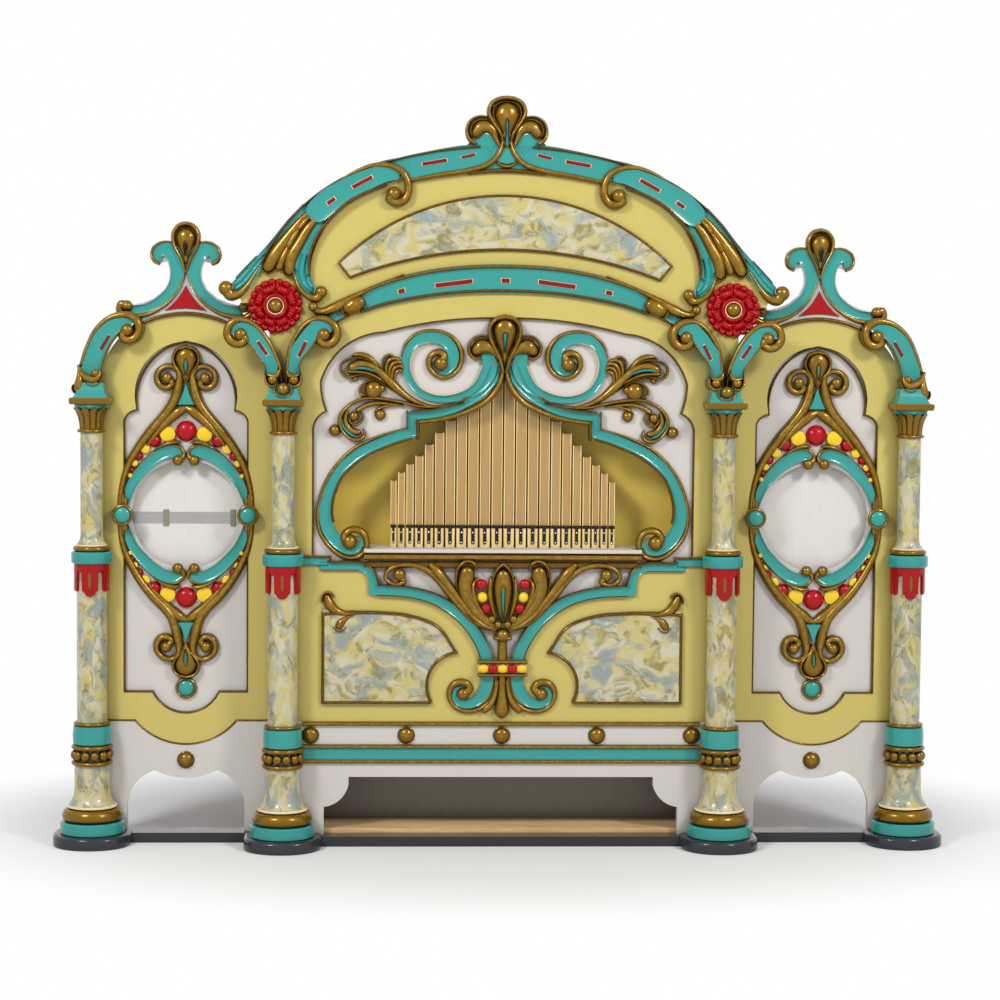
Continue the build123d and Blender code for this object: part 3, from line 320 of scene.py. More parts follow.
def marbling_group():
    """Brushed marbling: cream ground, blue grey and olive clouds, dark touches at their edges."""
    tree, given = shader_group("marbling", [("Ground", "colour", None), ("Pale", "colour", None),
        ("Cloud", "colour", None), ("Moss", "colour", None), ("Vein", "colour", None),
        ("Vector", "vector", None)], [("Colour", "colour"), ("Height", "value")])
    wander = node(tree, "ShaderNodeTexNoise", {"Vector": given["Vector"], "Scale": 0.9,
        "Detail": 1.5}).outputs["Color"]
    wander = node(tree, "ShaderNodeVectorMath", {0: wander, 3: 1.6}, operation="SCALE").outputs[0]
    moved = node(tree, "ShaderNodeVectorMath", {0: given["Vector"], 1: wander},
        operation="ADD").outputs[0]
    pale = noise(tree, moved, 1.6, 3.0, 0.5, 0.4)
    cloud = noise(tree, moved, 1.25, 2.5, 0.5, 0.5)
    moss = noise(tree, moved, 1.7, 3.0, 0.55, 0.9)
    fleck = noise(tree, given["Vector"], 5.5, 4.0, 0.6, 0.6)
    colour = blend_colours(tree, remap(tree, pale, 0.36, 0.66, 0.0, 0.95), given["Ground"],
        given["Pale"])
    colour = blend_colours(tree, remap(tree, cloud, 0.46, 0.66, 0.0, 0.95), colour, given["Cloud"])
    colour = blend_colours(tree, remap(tree, moss, 0.5, 0.7, 0.0, 0.8), colour, given["Moss"])
    edge = arithmetic(tree, "ABSOLUTE", less(tree, cloud, 0.54))
    edge = remap(tree, edge, 0.0, 0.05, 0.75, 0.0)
    edge = times(tree, edge, remap(tree, fleck, 0.46, 0.6))
    edge = times(tree, edge, remap(tree, moss, 0.4, 0.56))
    colour = blend_colours(tree, edge, colour, given["Vein"])
    colour = blend_colours(tree, remap(tree, fleck, 0.5, 0.75, 0.0, 0.5), colour, given["Pale"])
    node(tree, "NodeGroupOutput", {"Colour": colour, "Height": pale})
    return tree


def grain_group():
    """Wood grain drawn out along one direction of the given coordinates."""
    tree, given = shader_group("wood_grain", [("Light", "colour", None), ("Dark", "colour", None),
        ("Vector", "vector", None)], [("Colour", "colour"), ("Roughness", "value"),
        ("Height", "value")])
    fibre = noise(tree, given["Vector"], 1.0, 6.0, 0.7, 0.3)
    broad = noise(tree, given["Vector"], 0.22, 3.0, 0.5, 1.2)
    mixed = plus(tree, times(tree, fibre, 0.55), times(tree, broad, 0.45))
    colour = blend_colours(tree, remap(tree, mixed, 0.36, 0.66), given["Light"], given["Dark"])
    # Painted shade: the occlusion mask darkens the corners towards a dark brown.
    corner = remap(tree, crevices(tree, 0.02), 0.25, 0.9, 0.0, 0.5)
    colour = blend_colours(tree, corner, colour, srgb(44, 30, 16) + (1.0,))
    rough = remap(tree, fibre, 0.3, 0.7, 0.42, 0.6)
    node(tree, "NodeGroupOutput", {"Colour": colour, "Roughness": rough, "Height": fibre})
    return tree


def effect(name):
    """The shared node group of that name, built once."""
    makers = {"brushed_paint": brushed_paint_group, "bronze_paint": bronze_paint_group,
        "marbling": marbling_group, "wood_grain": grain_group}
    return bpy.data.node_groups.get(name) or makers[name]()


def surface(name, group, inputs, bump, coat=0.0, metallic=0.0, rough=None, specular=0.5):
    """A material that places one shared effect behind a Principled shader."""
    material = bpy.data.materials.new(name)
    material.use_nodes = True
    tree = material.node_tree
    tree.nodes.clear()
    placed = node(tree, "ShaderNodeGroup", node_tree=effect(group))
    for key, value in inputs.items():
        if callable(value):
            tree.links.new(value(tree), placed.inputs[key])
        else:
            placed.inputs[key].default_value = value
    lump = node(tree, "ShaderNodeBump", {"Height": placed.outputs["Height"], "Strength": bump,
        "Distance": 0.002})
    shader = node(tree, "ShaderNodeBsdfPrincipled", {"Base Color": placed.outputs["Colour"],
        "Metallic": metallic, "Coat Weight": coat, "Coat Roughness": 0.08,
        "Specular IOR Level": specular, "Normal": lump.outputs[0]})
    if rough is None:
        tree.links.new(placed.outputs["Roughness"], shader.inputs["Roughness"])
    else:
        shader.inputs["Roughness"].default_value = rough
    node(tree, "ShaderNodeOutputMaterial", {"Surface": shader.outputs[0]})
    return material


def solid(colour):
    """A colour with its alpha."""
    return tuple(colour) + (1.0,)


def painted(name, colour, corner_shade, streaks=0.06, reach=0.02, strength=0.6, bump=0.12, coat=0.2):
    """Brush painted wood, darkened in its corners towards a colour of painted shade."""
    return surface(name, "brushed_paint", {"Colour": solid(colour), "Corner Shade": solid(corner_shade),
        "Streaks": streaks, "Corner Reach": reach, "Corner Strength": strength}, bump, coat,
        specular=0.2)


def gilt(name, body, hollow=srgb(52, 33, 3), crest=srgb(204, 176, 98)):
    """Bronze painted carving; hollow is its painted shade and crest its painted highlight."""
    return surface(name, "bronze_paint", {"Hollow Shade": solid(hollow), "Body": solid(body),
        "Crest": solid(crest)}, 0.07, 0.16, 0.5, specular=0.25)


def marbled(name, scale):
    """Marbled paint; scale gives the size of its clouds along each axis."""
    return surface(name, "marbling", {"Ground": solid(srgb(190, 176, 108)),
        "Pale": solid(srgb(194, 190, 168)), "Cloud": solid(srgb(136, 148, 146)),
        "Moss": solid(srgb(128, 118, 56)), "Vein": solid(srgb(72, 64, 28)),
        "Vector": lambda tree: stretched(tree, scale)}, 0.08, 0.25, rough=0.3, specular=0.3)


def wooden(name, light, dark, scale, coat=0.1):
    """Bare or varnished wood with its grain along the least stretched axis."""
    return surface(name, "wood_grain", {"Light": solid(light), "Dark": solid(dark),
        "Vector": lambda tree: stretched(tree, scale)}, 0.25, coat)


def finish_makers():
    """How each finish is made, by name."""
    paints = paint_settings()
    # deep, like the second colour of each painted finish and of the chrome, is the painted shade mixed
    # into the corners.
    deep = srgb(12, 70, 66)
    return {
        "turquoise": lambda: painted("turquoise_gloss", paints.turquoise, deep, 0.1, 0.016, 0.75,
                                     0.1, 0.45),
        "slit": lambda: painted("slit_paint", srgb(36, 132, 124), deep, 0.1, 0.01, 0.9),
        "yellow": lambda: painted("yellow_board", paints.yellow, srgb(120, 98, 34), 0.05, 0.05,
                                  0.75),
        "white": lambda: painted("white_field", paints.white, srgb(120, 112, 100), 0.035, 0.03,
                                 0.5, 0.1, 0.2),
        "gold": lambda: gilt("gold_carving", paints.gold),
        "line": lambda: gilt("gold_line", srgb(96, 66, 8), srgb(32, 18, 2), srgb(170, 134, 52)),
        "red": lambda: painted("red_gloss", paints.red, srgb(60, 2, 6), 0.12, 0.012, 0.8, 0.1,
                               0.12),
        "gem_red": lambda: painted("red_gem", srgb(168, 4, 14), srgb(70, 0, 4), 0.08, 0.01, 0.5,
                                   0.03, 0.16),
        "gem_yellow": lambda: painted("yellow_gem", paints.gem_yellow, srgb(130, 84, 4), 0.08,
                                      0.01, 0.5, 0.03, 0.6),
        "dash": lambda: painted("dash_red", srgb(122, 10, 6), srgb(50, 6, 4), 0.15, 0.01, 0.6),
        "cream": lambda: painted("cream_edge", srgb(238, 214, 170), srgb(150, 110, 60), 0.05),
        "grey": lambda: painted("grey_floor_paint", paints.grey, srgb(34, 34, 40), 0.16, 0.03,
                                0.6, 0.35, 0.35),
        # The niche's wide corner reach paints the pipes' shade onto the board behind them.
        "niche": lambda: painted("old_gold_board", srgb(238, 208, 92), srgb(110, 84, 24), 0.16,
                                 0.09, 0.5, 0.2, 0.1),
        "board_grey": lambda: painted("grey_board", srgb(136, 130, 120), srgb(40, 36, 32), 0.2,
                                      0.08, 0.7, 0.3, 0.0),
        "black": lambda: painted("black_iron", srgb(16, 13, 11), srgb(4, 4, 4), 0.3, 0.01, 0.5,
                                 0.2, 0.2),
        "marble": lambda: marbled("marbled_panel", (11.0, 11.0, 14.0)),
        "marble_post": lambda: marbled("marbled_column", (21.0, 21.0, 12.0)),
        "pipe": lambda: wooden("pipe_wood", paints.pipe, srgb(168, 130, 78), (160.0, 160.0, 7.0)),
        "pipe_edge": lambda: wooden("pipe_edge_wood", srgb(240, 214, 150), srgb(216, 180, 112),
                                    (160.0, 160.0, 7.0)),
        "case": lambda: wooden("case_wood", srgb(122, 78, 44), srgb(78, 46, 24),
                               (90.0, 90.0, 6.0), 0.2),
        "floor_wood": lambda: wooden("floor_wood", srgb(238, 204, 154), srgb(206, 162, 108),
                                     (6.0, 90.0, 90.0)),
        "drum_shell": lambda: wooden("drum_shell_wood", srgb(176, 130, 80), srgb(130, 86, 46),
                                     (8.0, 90.0, 8.0), 0.5),
        "drum_head": lambda: painted("drum_skin", srgb(214, 211, 205), srgb(150, 144, 134), 0.08,
                                     0.06, 0.6, 0.15, 0.15),
        "chrome": lambda: surface("drum_hoop_metal", "brushed_paint",
                                  {"Colour": solid(srgb(206, 206, 208)),
                                   "Corner Shade": solid(srgb(90, 90, 92))}, 0.05, 0.0, 1.0, 0.16),
    }


def finish(name):
    """The material of a finish, made the first time that it is asked for."""
    made = bpy.data.materials.get(f"finish_{name}")
    if made is None:
        made = finish_makers()[name]()
        made.name = f"finish_{name}"
    return made


# Lines

def smooth_run(points, spacing):
    """Evenly divided smooth line through given points of (x, z, width)."""
    given = np.array(points, float)
    if len(given) == 2:
        steps = max(1, int(np.linalg.norm(given[1, :2] - given[0, :2]) / spacing))
        share = np.linspace(0, 1, steps + 1)[:, None]
        return given[0] * (1 - share) + given[1] * share
    before = 2 * given[0] - given[1]
    after = 2 * given[-1] - given[-2]
    ends = np.vstack([before, given, after])
    made = [given[0]]
    for i in range(1, len(ends) - 2):
        a, b, c, d = ends[i - 1:i + 3]
        knots = [0.0]
        for first, second in ((a, b), (b, c), (c, d)):
            gap = np.linalg.norm(second[:2] - first[:2])
            knots.append(knots[-1] + max(gap, 1e-3) ** 0.5)
        steps = max(2, int(np.linalg.norm(c[:2] - b[:2]) / spacing + 0.5))
        for t in np.linspace(knots[1], knots[2], steps + 1)[1:]:
            ab = (a * (knots[1] - t) + b * (t - knots[0])) / (knots[1] - knots[0])
            bc = (b * (knots[2] - t) + c * (t - knots[1])) / (knots[2] - knots[1])
            cd = (c * (knots[3] - t) + d * (t - knots[2])) / (knots[3] - knots[2])
            abc = (ab * (knots[2] - t) + bc * (t - knots[0])) / (knots[2] - knots[0])
            bcd = (bc * (knots[3] - t) + cd * (t - knots[1])) / (knots[3] - knots[1])
            made.append((abc * (knots[2] - t) + bcd * (t - knots[1])) / (knots[2] - knots[1]))
    return np.array(made)


def flow(runs, spacing):
    """One line from runs that share their end points, with a mitred corner at each."""
    parts = [smooth_run(run, spacing) for run in runs]
    return np.vstack([parts[0]] + [part[1:] for part in parts[1:]])


def arc(start, end, bulge, count=12):
    """Points of an arc from start to end; a positive bulge lies left of the way."""
    ax, az = start
    bx, bz = end
    chord = sqrt((bx - ax) ** 2 + (bz - az) ** 2)
    radius = (chord * chord / 4 + bulge * bulge) / (2 * bulge)
    middle = Vector(((ax + bx) / 2, (az + bz) / 2))
    left = Vector((-(bz - az), bx - ax)) / chord
    centre = middle + left * (bulge - radius)
    first = Vector((ax, az)) - centre
    last = Vector((bx, bz)) - centre
    turn = first.angle_signed(last)
    if abs(bulge) > chord / 2:
        turn -= 2 * pi if turn > 0 else -2 * pi
    points = []
    for i in range(count + 1):
        spot = Matrix.Rotation(-turn * i / count, 2) @ first + centre
        points.append((spot.x, spot.y))
    return points


def wide(points, width):
    """The same points with a width."""
    return [(x, z, width) for x, z in points]


def both_halves(half):
    """Outline or line through the given points and their mirror images across the middle."""
    flipped = [(-spot[0],) + tuple(spot[1:]) for spot in half[::-1] if spot[0] > 0]
    if half[0][0] > 0:
        return flipped[-1:] + half + flipped[:-1]
    return half + flipped


# Sections across a stroke, as (offset, height share), and the finish of each strip between them

def round_section(half, rim):
    """Half round."""
    turns = np.linspace(0, pi, 11)
    return [(-half * cos(t), sin(t) ** 0.8) for t in turns], ["gold"] * 10


def hollow_section(half, rim):
    """Painted hollow between two thin gilt rims."""
    rim = min(rim, half * 0.4)
    inner = half - rim
    points = [(-half, 0), (-half, 0.78), (-half + rim * 0.3, 0.97), (-half + rim * 0.7, 0.97),
        (-inner, 0.74), (-inner * 0.92, 0.55), (-inner * 0.5, 0.46), (0, 0.43), (inner * 0.5, 0.46),
        (inner * 0.92, 0.55), (inner, 0.74), (half - rim * 0.7, 0.97), (half - rim * 0.3, 0.97),
        (half, 0.78), (half, 0)]
    return points, ["gold"] * 4 + ["turquoise"] * 6 + ["gold"] * 4


def band_section(half, rim):
    """Painted band, slightly hollow, whose edges go under gilt rims."""
    points = [(-half, 0), (-half, 0.8), (-half * 0.8, 0.62), (-half * 0.4, 0.5), (0, 0.46),
        (half * 0.4, 0.5), (half * 0.8, 0.62), (half, 0.8), (half, 0)]
    return points, ["turquoise"] * 8


def fluted_section(half, rim):
    """Painted band with three flutes."""
    points = [(-half, 0), (-half, 0.8)]
    for share in np.linspace(-0.92, 0.92, 19):
        points.append((half * share, 0.84 - 0.34 * abs(sin(1.5 * pi * (share / 0.92 + 1)))))
    points += [(half, 0.8), (half, 0)]
    return points, ["turquoise"] * 22


def flat_section(half, rim):
    """Flat strip with slightly rounded edges."""
    edge = min(1.5, half * 0.3)
    points = [(-half, 0), (-half, 0.7), (-half + edge, 1.0), (half - edge, 1.0), (half, 0.7), (half, 0)]
    return points, ["gold"] * 5


ROUND_ENDS = (True, True)
SQUARE_ENDS = (False, False)
SQUARE_FIRST = (False, True)
SQUARE_LAST = (True, False)


class Carving:
    """Carved pieces in millimetres: points on a board at (x, z) and a height out of it."""

    def __init__(self, board):
        self.board = board
        self.points = []
        self.crests = []
        self.faces = []
        self.finishes = []

    def shell(self, rings, crests, strips, cap_finishes):
        """Closed skin over rings of (x, z, height) points, with both ends capped."""
        start = len(self.points)
        count = len(rings[0])
        for ring, crest in zip(rings, crests):
            for (x, z, height), share in zip(ring, crest):
                self.points.append((x, self.board - height, z))
                self.crests.append(share)
        for i in range(len(rings) - 1):
            low = start + i * count
            high = low + count
            for j in range(count):
                k = (j + 1) % count
                self.faces.append((low + j, low + k, high + k, high + j))
                self.finishes.append(strips[j % len(strips)])
        last = start + (len(rings) - 1) * count
        self.faces.append(tuple(range(start, start + count)))
        self.faces.append(tuple(range(last, last + count)))
        self.finishes.extend(cap_finishes)

    def stroke(self, points, section=round_section, height=None, base=0.0, wall=0.0, rim=None,
               blunt=ROUND_ENDS, finish=None, runs=None, line=None):
        """Stroke along a smooth line of (x, z, width) points, or along joined runs of them.

        It stands on base, rises wall straight up and then by its section, which flattens where
        the stroke is narrow. A blunt end is rounded off, another is cut square.
        """
        sizes = carving_settings()
        height = sizes.relief if height is None else height
        rim = sizes.rim if rim is None else rim
        if line is None:
            line = flow(runs, sizes.spacing) if runs else smooth_run(points, sizes.spacing)
        line[:, 2] = np.maximum(line[:, 2], 1.0)
        widest = line[:, 2].max()
        steps = np.diff(line[:, :2], axis=0)
        lengths = np.linalg.norm(steps, axis=1, keepdims=True)
        ways = steps / np.maximum(lengths, 1e-6)
        lefts = np.column_stack([-ways[:, 1], ways[:, 0]])
        before = np.vstack([lefts[:1], lefts])
        after = np.vstack([lefts, lefts[-1:]])
        across = before + after
        across /= np.maximum(np.linalg.norm(across, axis=1, keepdims=True), 1e-6)
        mitre = 1 / np.clip((across * after).sum(1), 0.5, 1.0)
        stations = []
        for spot, side, stretch in zip(line, across, mitre):
            stations.append((spot[0], spot[1], spot[2], side, stretch, 1.0))
        stations = (self.rounded(stations[0], -ways[0], blunt[0])[::-1] + stations
                    + self.rounded(stations[-1], ways[-1], blunt[1]))
        rings = []
        crests = []
        for x, z, width, side, stretch, drop in stations:
            profile, strips = section(width / 2, rim)
            lift = height * sqrt(min(1.0, width / drop / widest)) * sqrt(max(drop, 0.02))
            ring = []
            crest = []
            for offset, share in profile:
                reach = offset * stretch
                up = base + (wall + share * lift if share > 0 else 0.0)
                ring.append((x + side[0] * reach, z + side[1] * reach, up))
                # Height share of the point: painted shade at the foot and a painted highlight on top,
                # in the bronze paint.
                crest.append(share * drop)
            rings.append(ring)
            crests.append(crest)
        strips = strips + strips[:1]
        if finish:
            strips = [finish] * len(strips)
        self.shell(rings, crests, strips, [strips[len(strips) // 2]] * 2)

    def ridge(self, points, *sizes, **options):
        """Stroke with a half round section."""
        self.stroke(points, round_section, *sizes, **options)

    def edging(self, points, width, side, height, base=0.0, wall=0.0, span=(0.0, 1.0),
               section=round_section, finish=None):
        """Thin edge along one side of a band; a side of 1 is on the left of its way."""
        line = smooth_run(points, carving_settings().spacing)
        ways = np.gradient(line[:, :2], axis=0)
        ways /= np.maximum(np.linalg.norm(ways, axis=1, keepdims=True), 1e-6)
        lefts = np.column_stack([-ways[:, 1], ways[:, 0]])
        line[:, :2] += side * lefts * (line[:, 2:] / 2 + width / 2 - 1)
        line[:, 2] = width
        first, last = (int(len(line) * share) for share in span)
        self.stroke(None, section, height, base, wall, finish=finish, line=line[first:last])

    def scroll(self, points, eye, height, base=0.0, wall=0.0):
        """Round stroke that curls into an eye, given as (x, z, width)."""
        x, z, across = eye
        self.ridge(list(points) + [(x, z, across * 0.86)], height, base, wall)
        self.ball(x, z, across / 2, base=base + wall + height + 3 - across * 0.55)

    def husk(self, points, height, base=0.0, lip=6.0):
        """Swelling stroke whose broad end lies in a thin raised lip."""
        self.ridge(points, height, base)
        (ax, az, _), (bx, bz, width) = points[-2:]
        way = atan2(bz - az, bx - ax)
        reach = width / 2 + lip / 2 - 1
        around = [(bx + reach * cos(way + turn), bz + reach * sin(way + turn),
            lip * (0.4 + 0.6 * cos(turn * 0.7))) for turn in np.linspace(-1.9, 1.9, 9)]
        self.ridge(around, height * 0.85, base)

    def bulb(self, pear, slit, height, base=0.0, slit_finish="slit"):
        """Swelling split by a drop shaped slit between two lips; both run from the broad end."""
        self.ridge(pear, height, base)
        low = base + height * 0.4
        self.stroke(slit, flat_section, height * 0.6 + 1.0, low, finish=slit_finish)
        lip = 4.0
        sign = 1 if slit[0][1] > slit[-1][1] else -1
        side = [(x + width / 2 + 1.5, z, lip) for x, z, width in slit]
        around = [(-x, z, width) for x, z, width in side[::-1]]
        around += [(0, slit[0][1] + sign * (slit[0][2] / 2 + 2), lip)] + side
        self.ridge(around, height * 0.6 + 3.5, low)

    @staticmethod
    def rounded(station, way, blunt):
        """Extra stations that round off the end of a stroke."""
        if not blunt:
            return []
        x, z, width, side, stretch, _ = station
        made = []
        for turn in (25, 45, 62, 76, 86):
            share = cos(radians(turn))
            reach = width / 2 * sin(radians(turn))
            made.append((x + way[0] * reach, z + way[1] * reach, width * share, side, stretch, share))
        return made

    def turned(self, x, z, profile, finish="gold", base=0.0, oval=1.0, steps=None):
        """Piece turned about a line out of the board, from (radius, height) points."""
        steps = steps or carving_settings().round_steps
        turns = [2 * pi * i / steps for i in range(steps)]
        top = max(height for _, height in profile)
        rings = []
        crests = []
        for radius, height in profile:
            rings.append([(x + radius * cos(t), z + radius * oval * sin(t), base + height)
                for t in turns])
            # Height share: painted highlight on top of balls and domes, painted shade at their feet.
            crests.append([height / max(top, 1e-3)] * steps)
        finishes = finish if isinstance(finish, list) else [finish] * (len(profile) - 1)
        start = len(self.finishes)
        self.shell(rings, crests, ["gold"], [finishes[0], finishes[-1]])
        for i, name in enumerate(finishes):
            for j in range(steps):
                self.finishes[start + i * steps + j] = name

    def ball(self, x, z, radius, finish="gold", base=0.0, share=0.55, squash=0.9):
        """Ball that is sunk a little in what it lies on."""
        low = -radius * share
        profile = [(radius * 0.86, -0.4)]
        for turn in (5, 20, 35, 50, 63, 75, 85):
            up = (radius * sin(radians(turn)) - low * 0.4) * squash
            profile.append((radius * cos(radians(turn)), max(up, 0.1)))
        profile.append((0.4, (radius - low * 0.4) * squash))
        self.turned(x, z, profile, finish, base)

    def dome(self, x, z, radius, height, finish="gold", base=0.0, oval=1.0):
        """Low dome on the board."""
        profile = [(radius, -0.4)]
        for turn in (0, 14, 28, 42, 56, 68, 79):
            profile.append((radius * cos(radians(turn)), height * sin(radians(turn)) + 0.2))
        profile.append((0.4, height + 0.2))
        self.turned(x, z, profile, finish, base, oval)

    def plate(self, outline, height, finish="white", base=0.0, edge=1.0):
        """Flat plate cut to an outline of (x, z) points, its front edge eased."""
        spots = np.array(outline, float)
        along = np.roll(spots, -1, axis=0) - np.roll(spots, 1, axis=0)
        normal = np.column_stack([-along[:, 1], along[:, 0]])
        normal /= np.maximum(np.linalg.norm(normal, axis=1, keepdims=True), 1e-6)
        area = (spots[:, 0] * np.roll(spots[:, 1], -1) - spots[:, 1] * np.roll(spots[:, 0], -1)).sum()
        inset = spots + normal * (edge if area > 0 else -edge)
        rings = [[(x, z, base - 0.4) for x, z in spots], [(x, z, base + height - edge) for x,
            z in spots], [(x, z, base + height) for x, z in inset]]
        crests = [[0.0] * len(spots), [0.8] * len(spots), [0.9] * len(spots)]
        self.shell(rings, crests, [finish], [finish, finish])

    def post(self, x, stand, profile, steps=48):
        """Upright turned post whose axis stands off the board; (radius, z, finish) points."""
        turns = [2 * pi * i / steps for i in range(steps)]
        start = len(self.finishes)
        rings = []
        for radius, z, _ in profile:
            rings.append([(x + radius * cos(t), z, max(stand + radius * sin(t), 0.0)) for t in turns])
        crests = [[0.75] * steps for _ in profile]
        self.shell(rings, crests, ["gold"], [profile[0][2], profile[-1][2]])
        for i in range(len(profile) - 1):
            for j in range(steps):
                self.finishes[start + i * steps + j] = profile[i][2]

    def block(self, levels, finish):
        """Square post through levels of (x, half width, front height, z) off the board."""
        rings = []
        for x, half, reach, z in levels:
            rings.append([(x - half, z, 0.0), (x - half, z, reach), (x + half, z, reach),
                (x + half, z, 0.0)])
        crests = [[0.7] * 4 for _ in levels]
        self.shell(rings, crests, [finish], [finish, finish])

    def copies(self, shifts, flips=None):
        """Replace what was made so far by copies moved across, mirrored where flips says."""
        points, crests = self.points, self.crests
        faces, finishes = self.faces, self.finishes
        self.points, self.crests, self.faces, self.finishes = [], [], [], []
        for shift, flip in zip(shifts, flips or [1] * len(shifts)):
            start = len(self.points)
            self.points += [(x * flip + shift, y, z) for x, y, z in points]
            self.crests += crests
            self.faces += [tuple(start + i for i in face) for face in faces]
            self.finishes += finishes

    def both_sides(self):
        """What was made so far and its mirror image across the middle."""
        self.copies((0, 0), (1, -1))

    def take(self, other):
        """Add all of another carving."""
        start = len(self.points)
        self.points += other.points
        self.crests += other.crests
        self.faces += [tuple(start + i for i in face) for face in other.faces]
        self.finishes += other.finishes

    def build(self, name, slot, *nodes, sharp=38):
        """Make the object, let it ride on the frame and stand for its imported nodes."""
        names = sorted(set(self.finishes))
        mesh = bpy.data.meshes.new(name)
        mesh.from_pydata([(x * MM, y * MM, z * MM) for x, y, z in self.points], [], self.faces)
        for finish_name in names:
            mesh.materials.append(finish(finish_name))
        mesh.polygons.foreach_set("material_index", [names.index(f) for f in self.finishes])
        # The crest attribute holds each point's share of painted highlight; low values give painted
        # shade in the bronze paint.
        crest = mesh.attributes.new("crest", "FLOAT", "POINT")
        crest.data.foreach_set("value", self.crests)
        grid = bmesh.new()
        grid.from_mesh(mesh)
        bmesh.ops.recalc_face_normals(grid, faces=grid.faces)
        grid.to_mesh(mesh)
        grid.free()
        mesh.shade_smooth()
        mesh.set_sharp_from_angle(angle=radians(sharp))
        piece = bpy.data.objects.new(name, mesh)
        bpy.context.scene.collection.objects.link(piece)
        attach(piece, "root")
        if nodes:
            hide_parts(*nodes)
        return piece


def dash(carving, start, end, width, base):
    """Painted red dash between two points on a band; the cream strip under it shows round its ends and
    sides as a painted highlight.
    """
    carving.stroke([start + (width,), end + (width,)], flat_section, 1.4, base, blunt=SQUARE_ENDS,
        finish="cream")
    first = Vector(start)
    last = Vector(end)
    slim = width * 0.84
    way = (last - first).normalized() * min(2.5, width * 0.2)
    first += way
    last -= way
    carving.stroke([(first.x, first.y, slim), (last.x, last.y, slim)], flat_section, 3.2, base,
        blunt=SQUARE_ENDS, finish="dash")


# Columns

def column_spots():
    """Each column's axis across, its stand off the board and the board's face."""
    spots = []
    for low, high in solids_of("column_lower_shafts"):
        x = (low[0] + high[0]) / 2
        stand = (high[0] - low[0]) / 2
        board = high[1]
        spots.append((x, board - low[1] - stand, board))
    return spots


def at_columns(draw):
    """A carving with draw(carving, x, stand) done at each of the four columns."""
    made = Carving(0.0)
    for x, stand, board in column_spots():
        one = Carving(board)
        draw(one, x, stand)
        made.take(one)
    return made


def swelling(radius, z, height, finish, count=8):
    """Half round moulding round a post, as profile points."""
    points = []
    for i in range(count + 1):
        turn = pi * i / count
        points.append((radius - height / 2 + height / 2 * sin(turn),
            z + height / 2 - height / 2 * cos(turn), finish))
    return points


class ORGAN_OT_column_bases(bpy.types.Operator):
    """Grey pad, turquoise disc and gilt torus at the foot of each column"""
    bl_idname = "organ.column_bases"
    bl_label = "Column bases"

    def execute(self, context):
        pad_high = node_box("column_pads")[1]
        base_low, base_high = node_box("column_bases")
        disc_top = pad_high.z + (base_high.z - base_low.z) * 0.47
        disc = (base_high.x - base_low.x) / 2 - column_spots()[-1][0]
        lip = (base_high.z - disc_top) / 2

        def draw(carving, x, stand):
            points = [(disc - 3, pad_high.z, "turquoise"), (disc, pad_high.z + 3, "turquoise"),
                (disc, disc_top - 4, "turquoise"), (disc - 4, disc_top, "turquoise"),
                (disc - 24, disc_top + 1, "gold")]
            for turn in np.linspace(0, pi, 13):
                points.append((disc - 20 + 17 * sin(turn) - 5 * (1 - cos(turn)) / 2,
                    disc_top + 1 + (lip - 1) * (1 - cos(turn)), "gold"))
            carving.post(x, stand, points)
        at_columns(draw).build("column_bases_turned", "turquoise_paint", "column_bases")

        made = Carving(0.0)
        for (low, high), (x, stand, board) in zip(solids_of("column_pads"), column_spots()):
            one = Carving(high[1])
            reach, wide_half = high[1] - low[1], (high[0] - low[0]) / 2
            rings = []
            for shrink, z in ((3, 0.0), (0, 3.0), (0, high[2] - 9), (2, high[2] - 4),
                              (6, high[2] - 1), (11, high[2])):
                half = wide_half - shrink
                ring = [(x - half, z, 0.0)]
                for turn in np.linspace(pi, 0, 36):
                    ring.append((x + half * cos(turn), z,
                        stand + (reach - stand - shrink) * sin(turn) ** 0.85))
                rings.append(ring + [(x + half, z, 0.0)])
            one.shell(rings, [[0.5] * len(rings[0])] * len(rings), ["grey"], ["grey", "grey"])
            made.take(one)
        made.build("column_pads_rounded", "grey_paint", "column_pads")
        return {"FINISHED"}


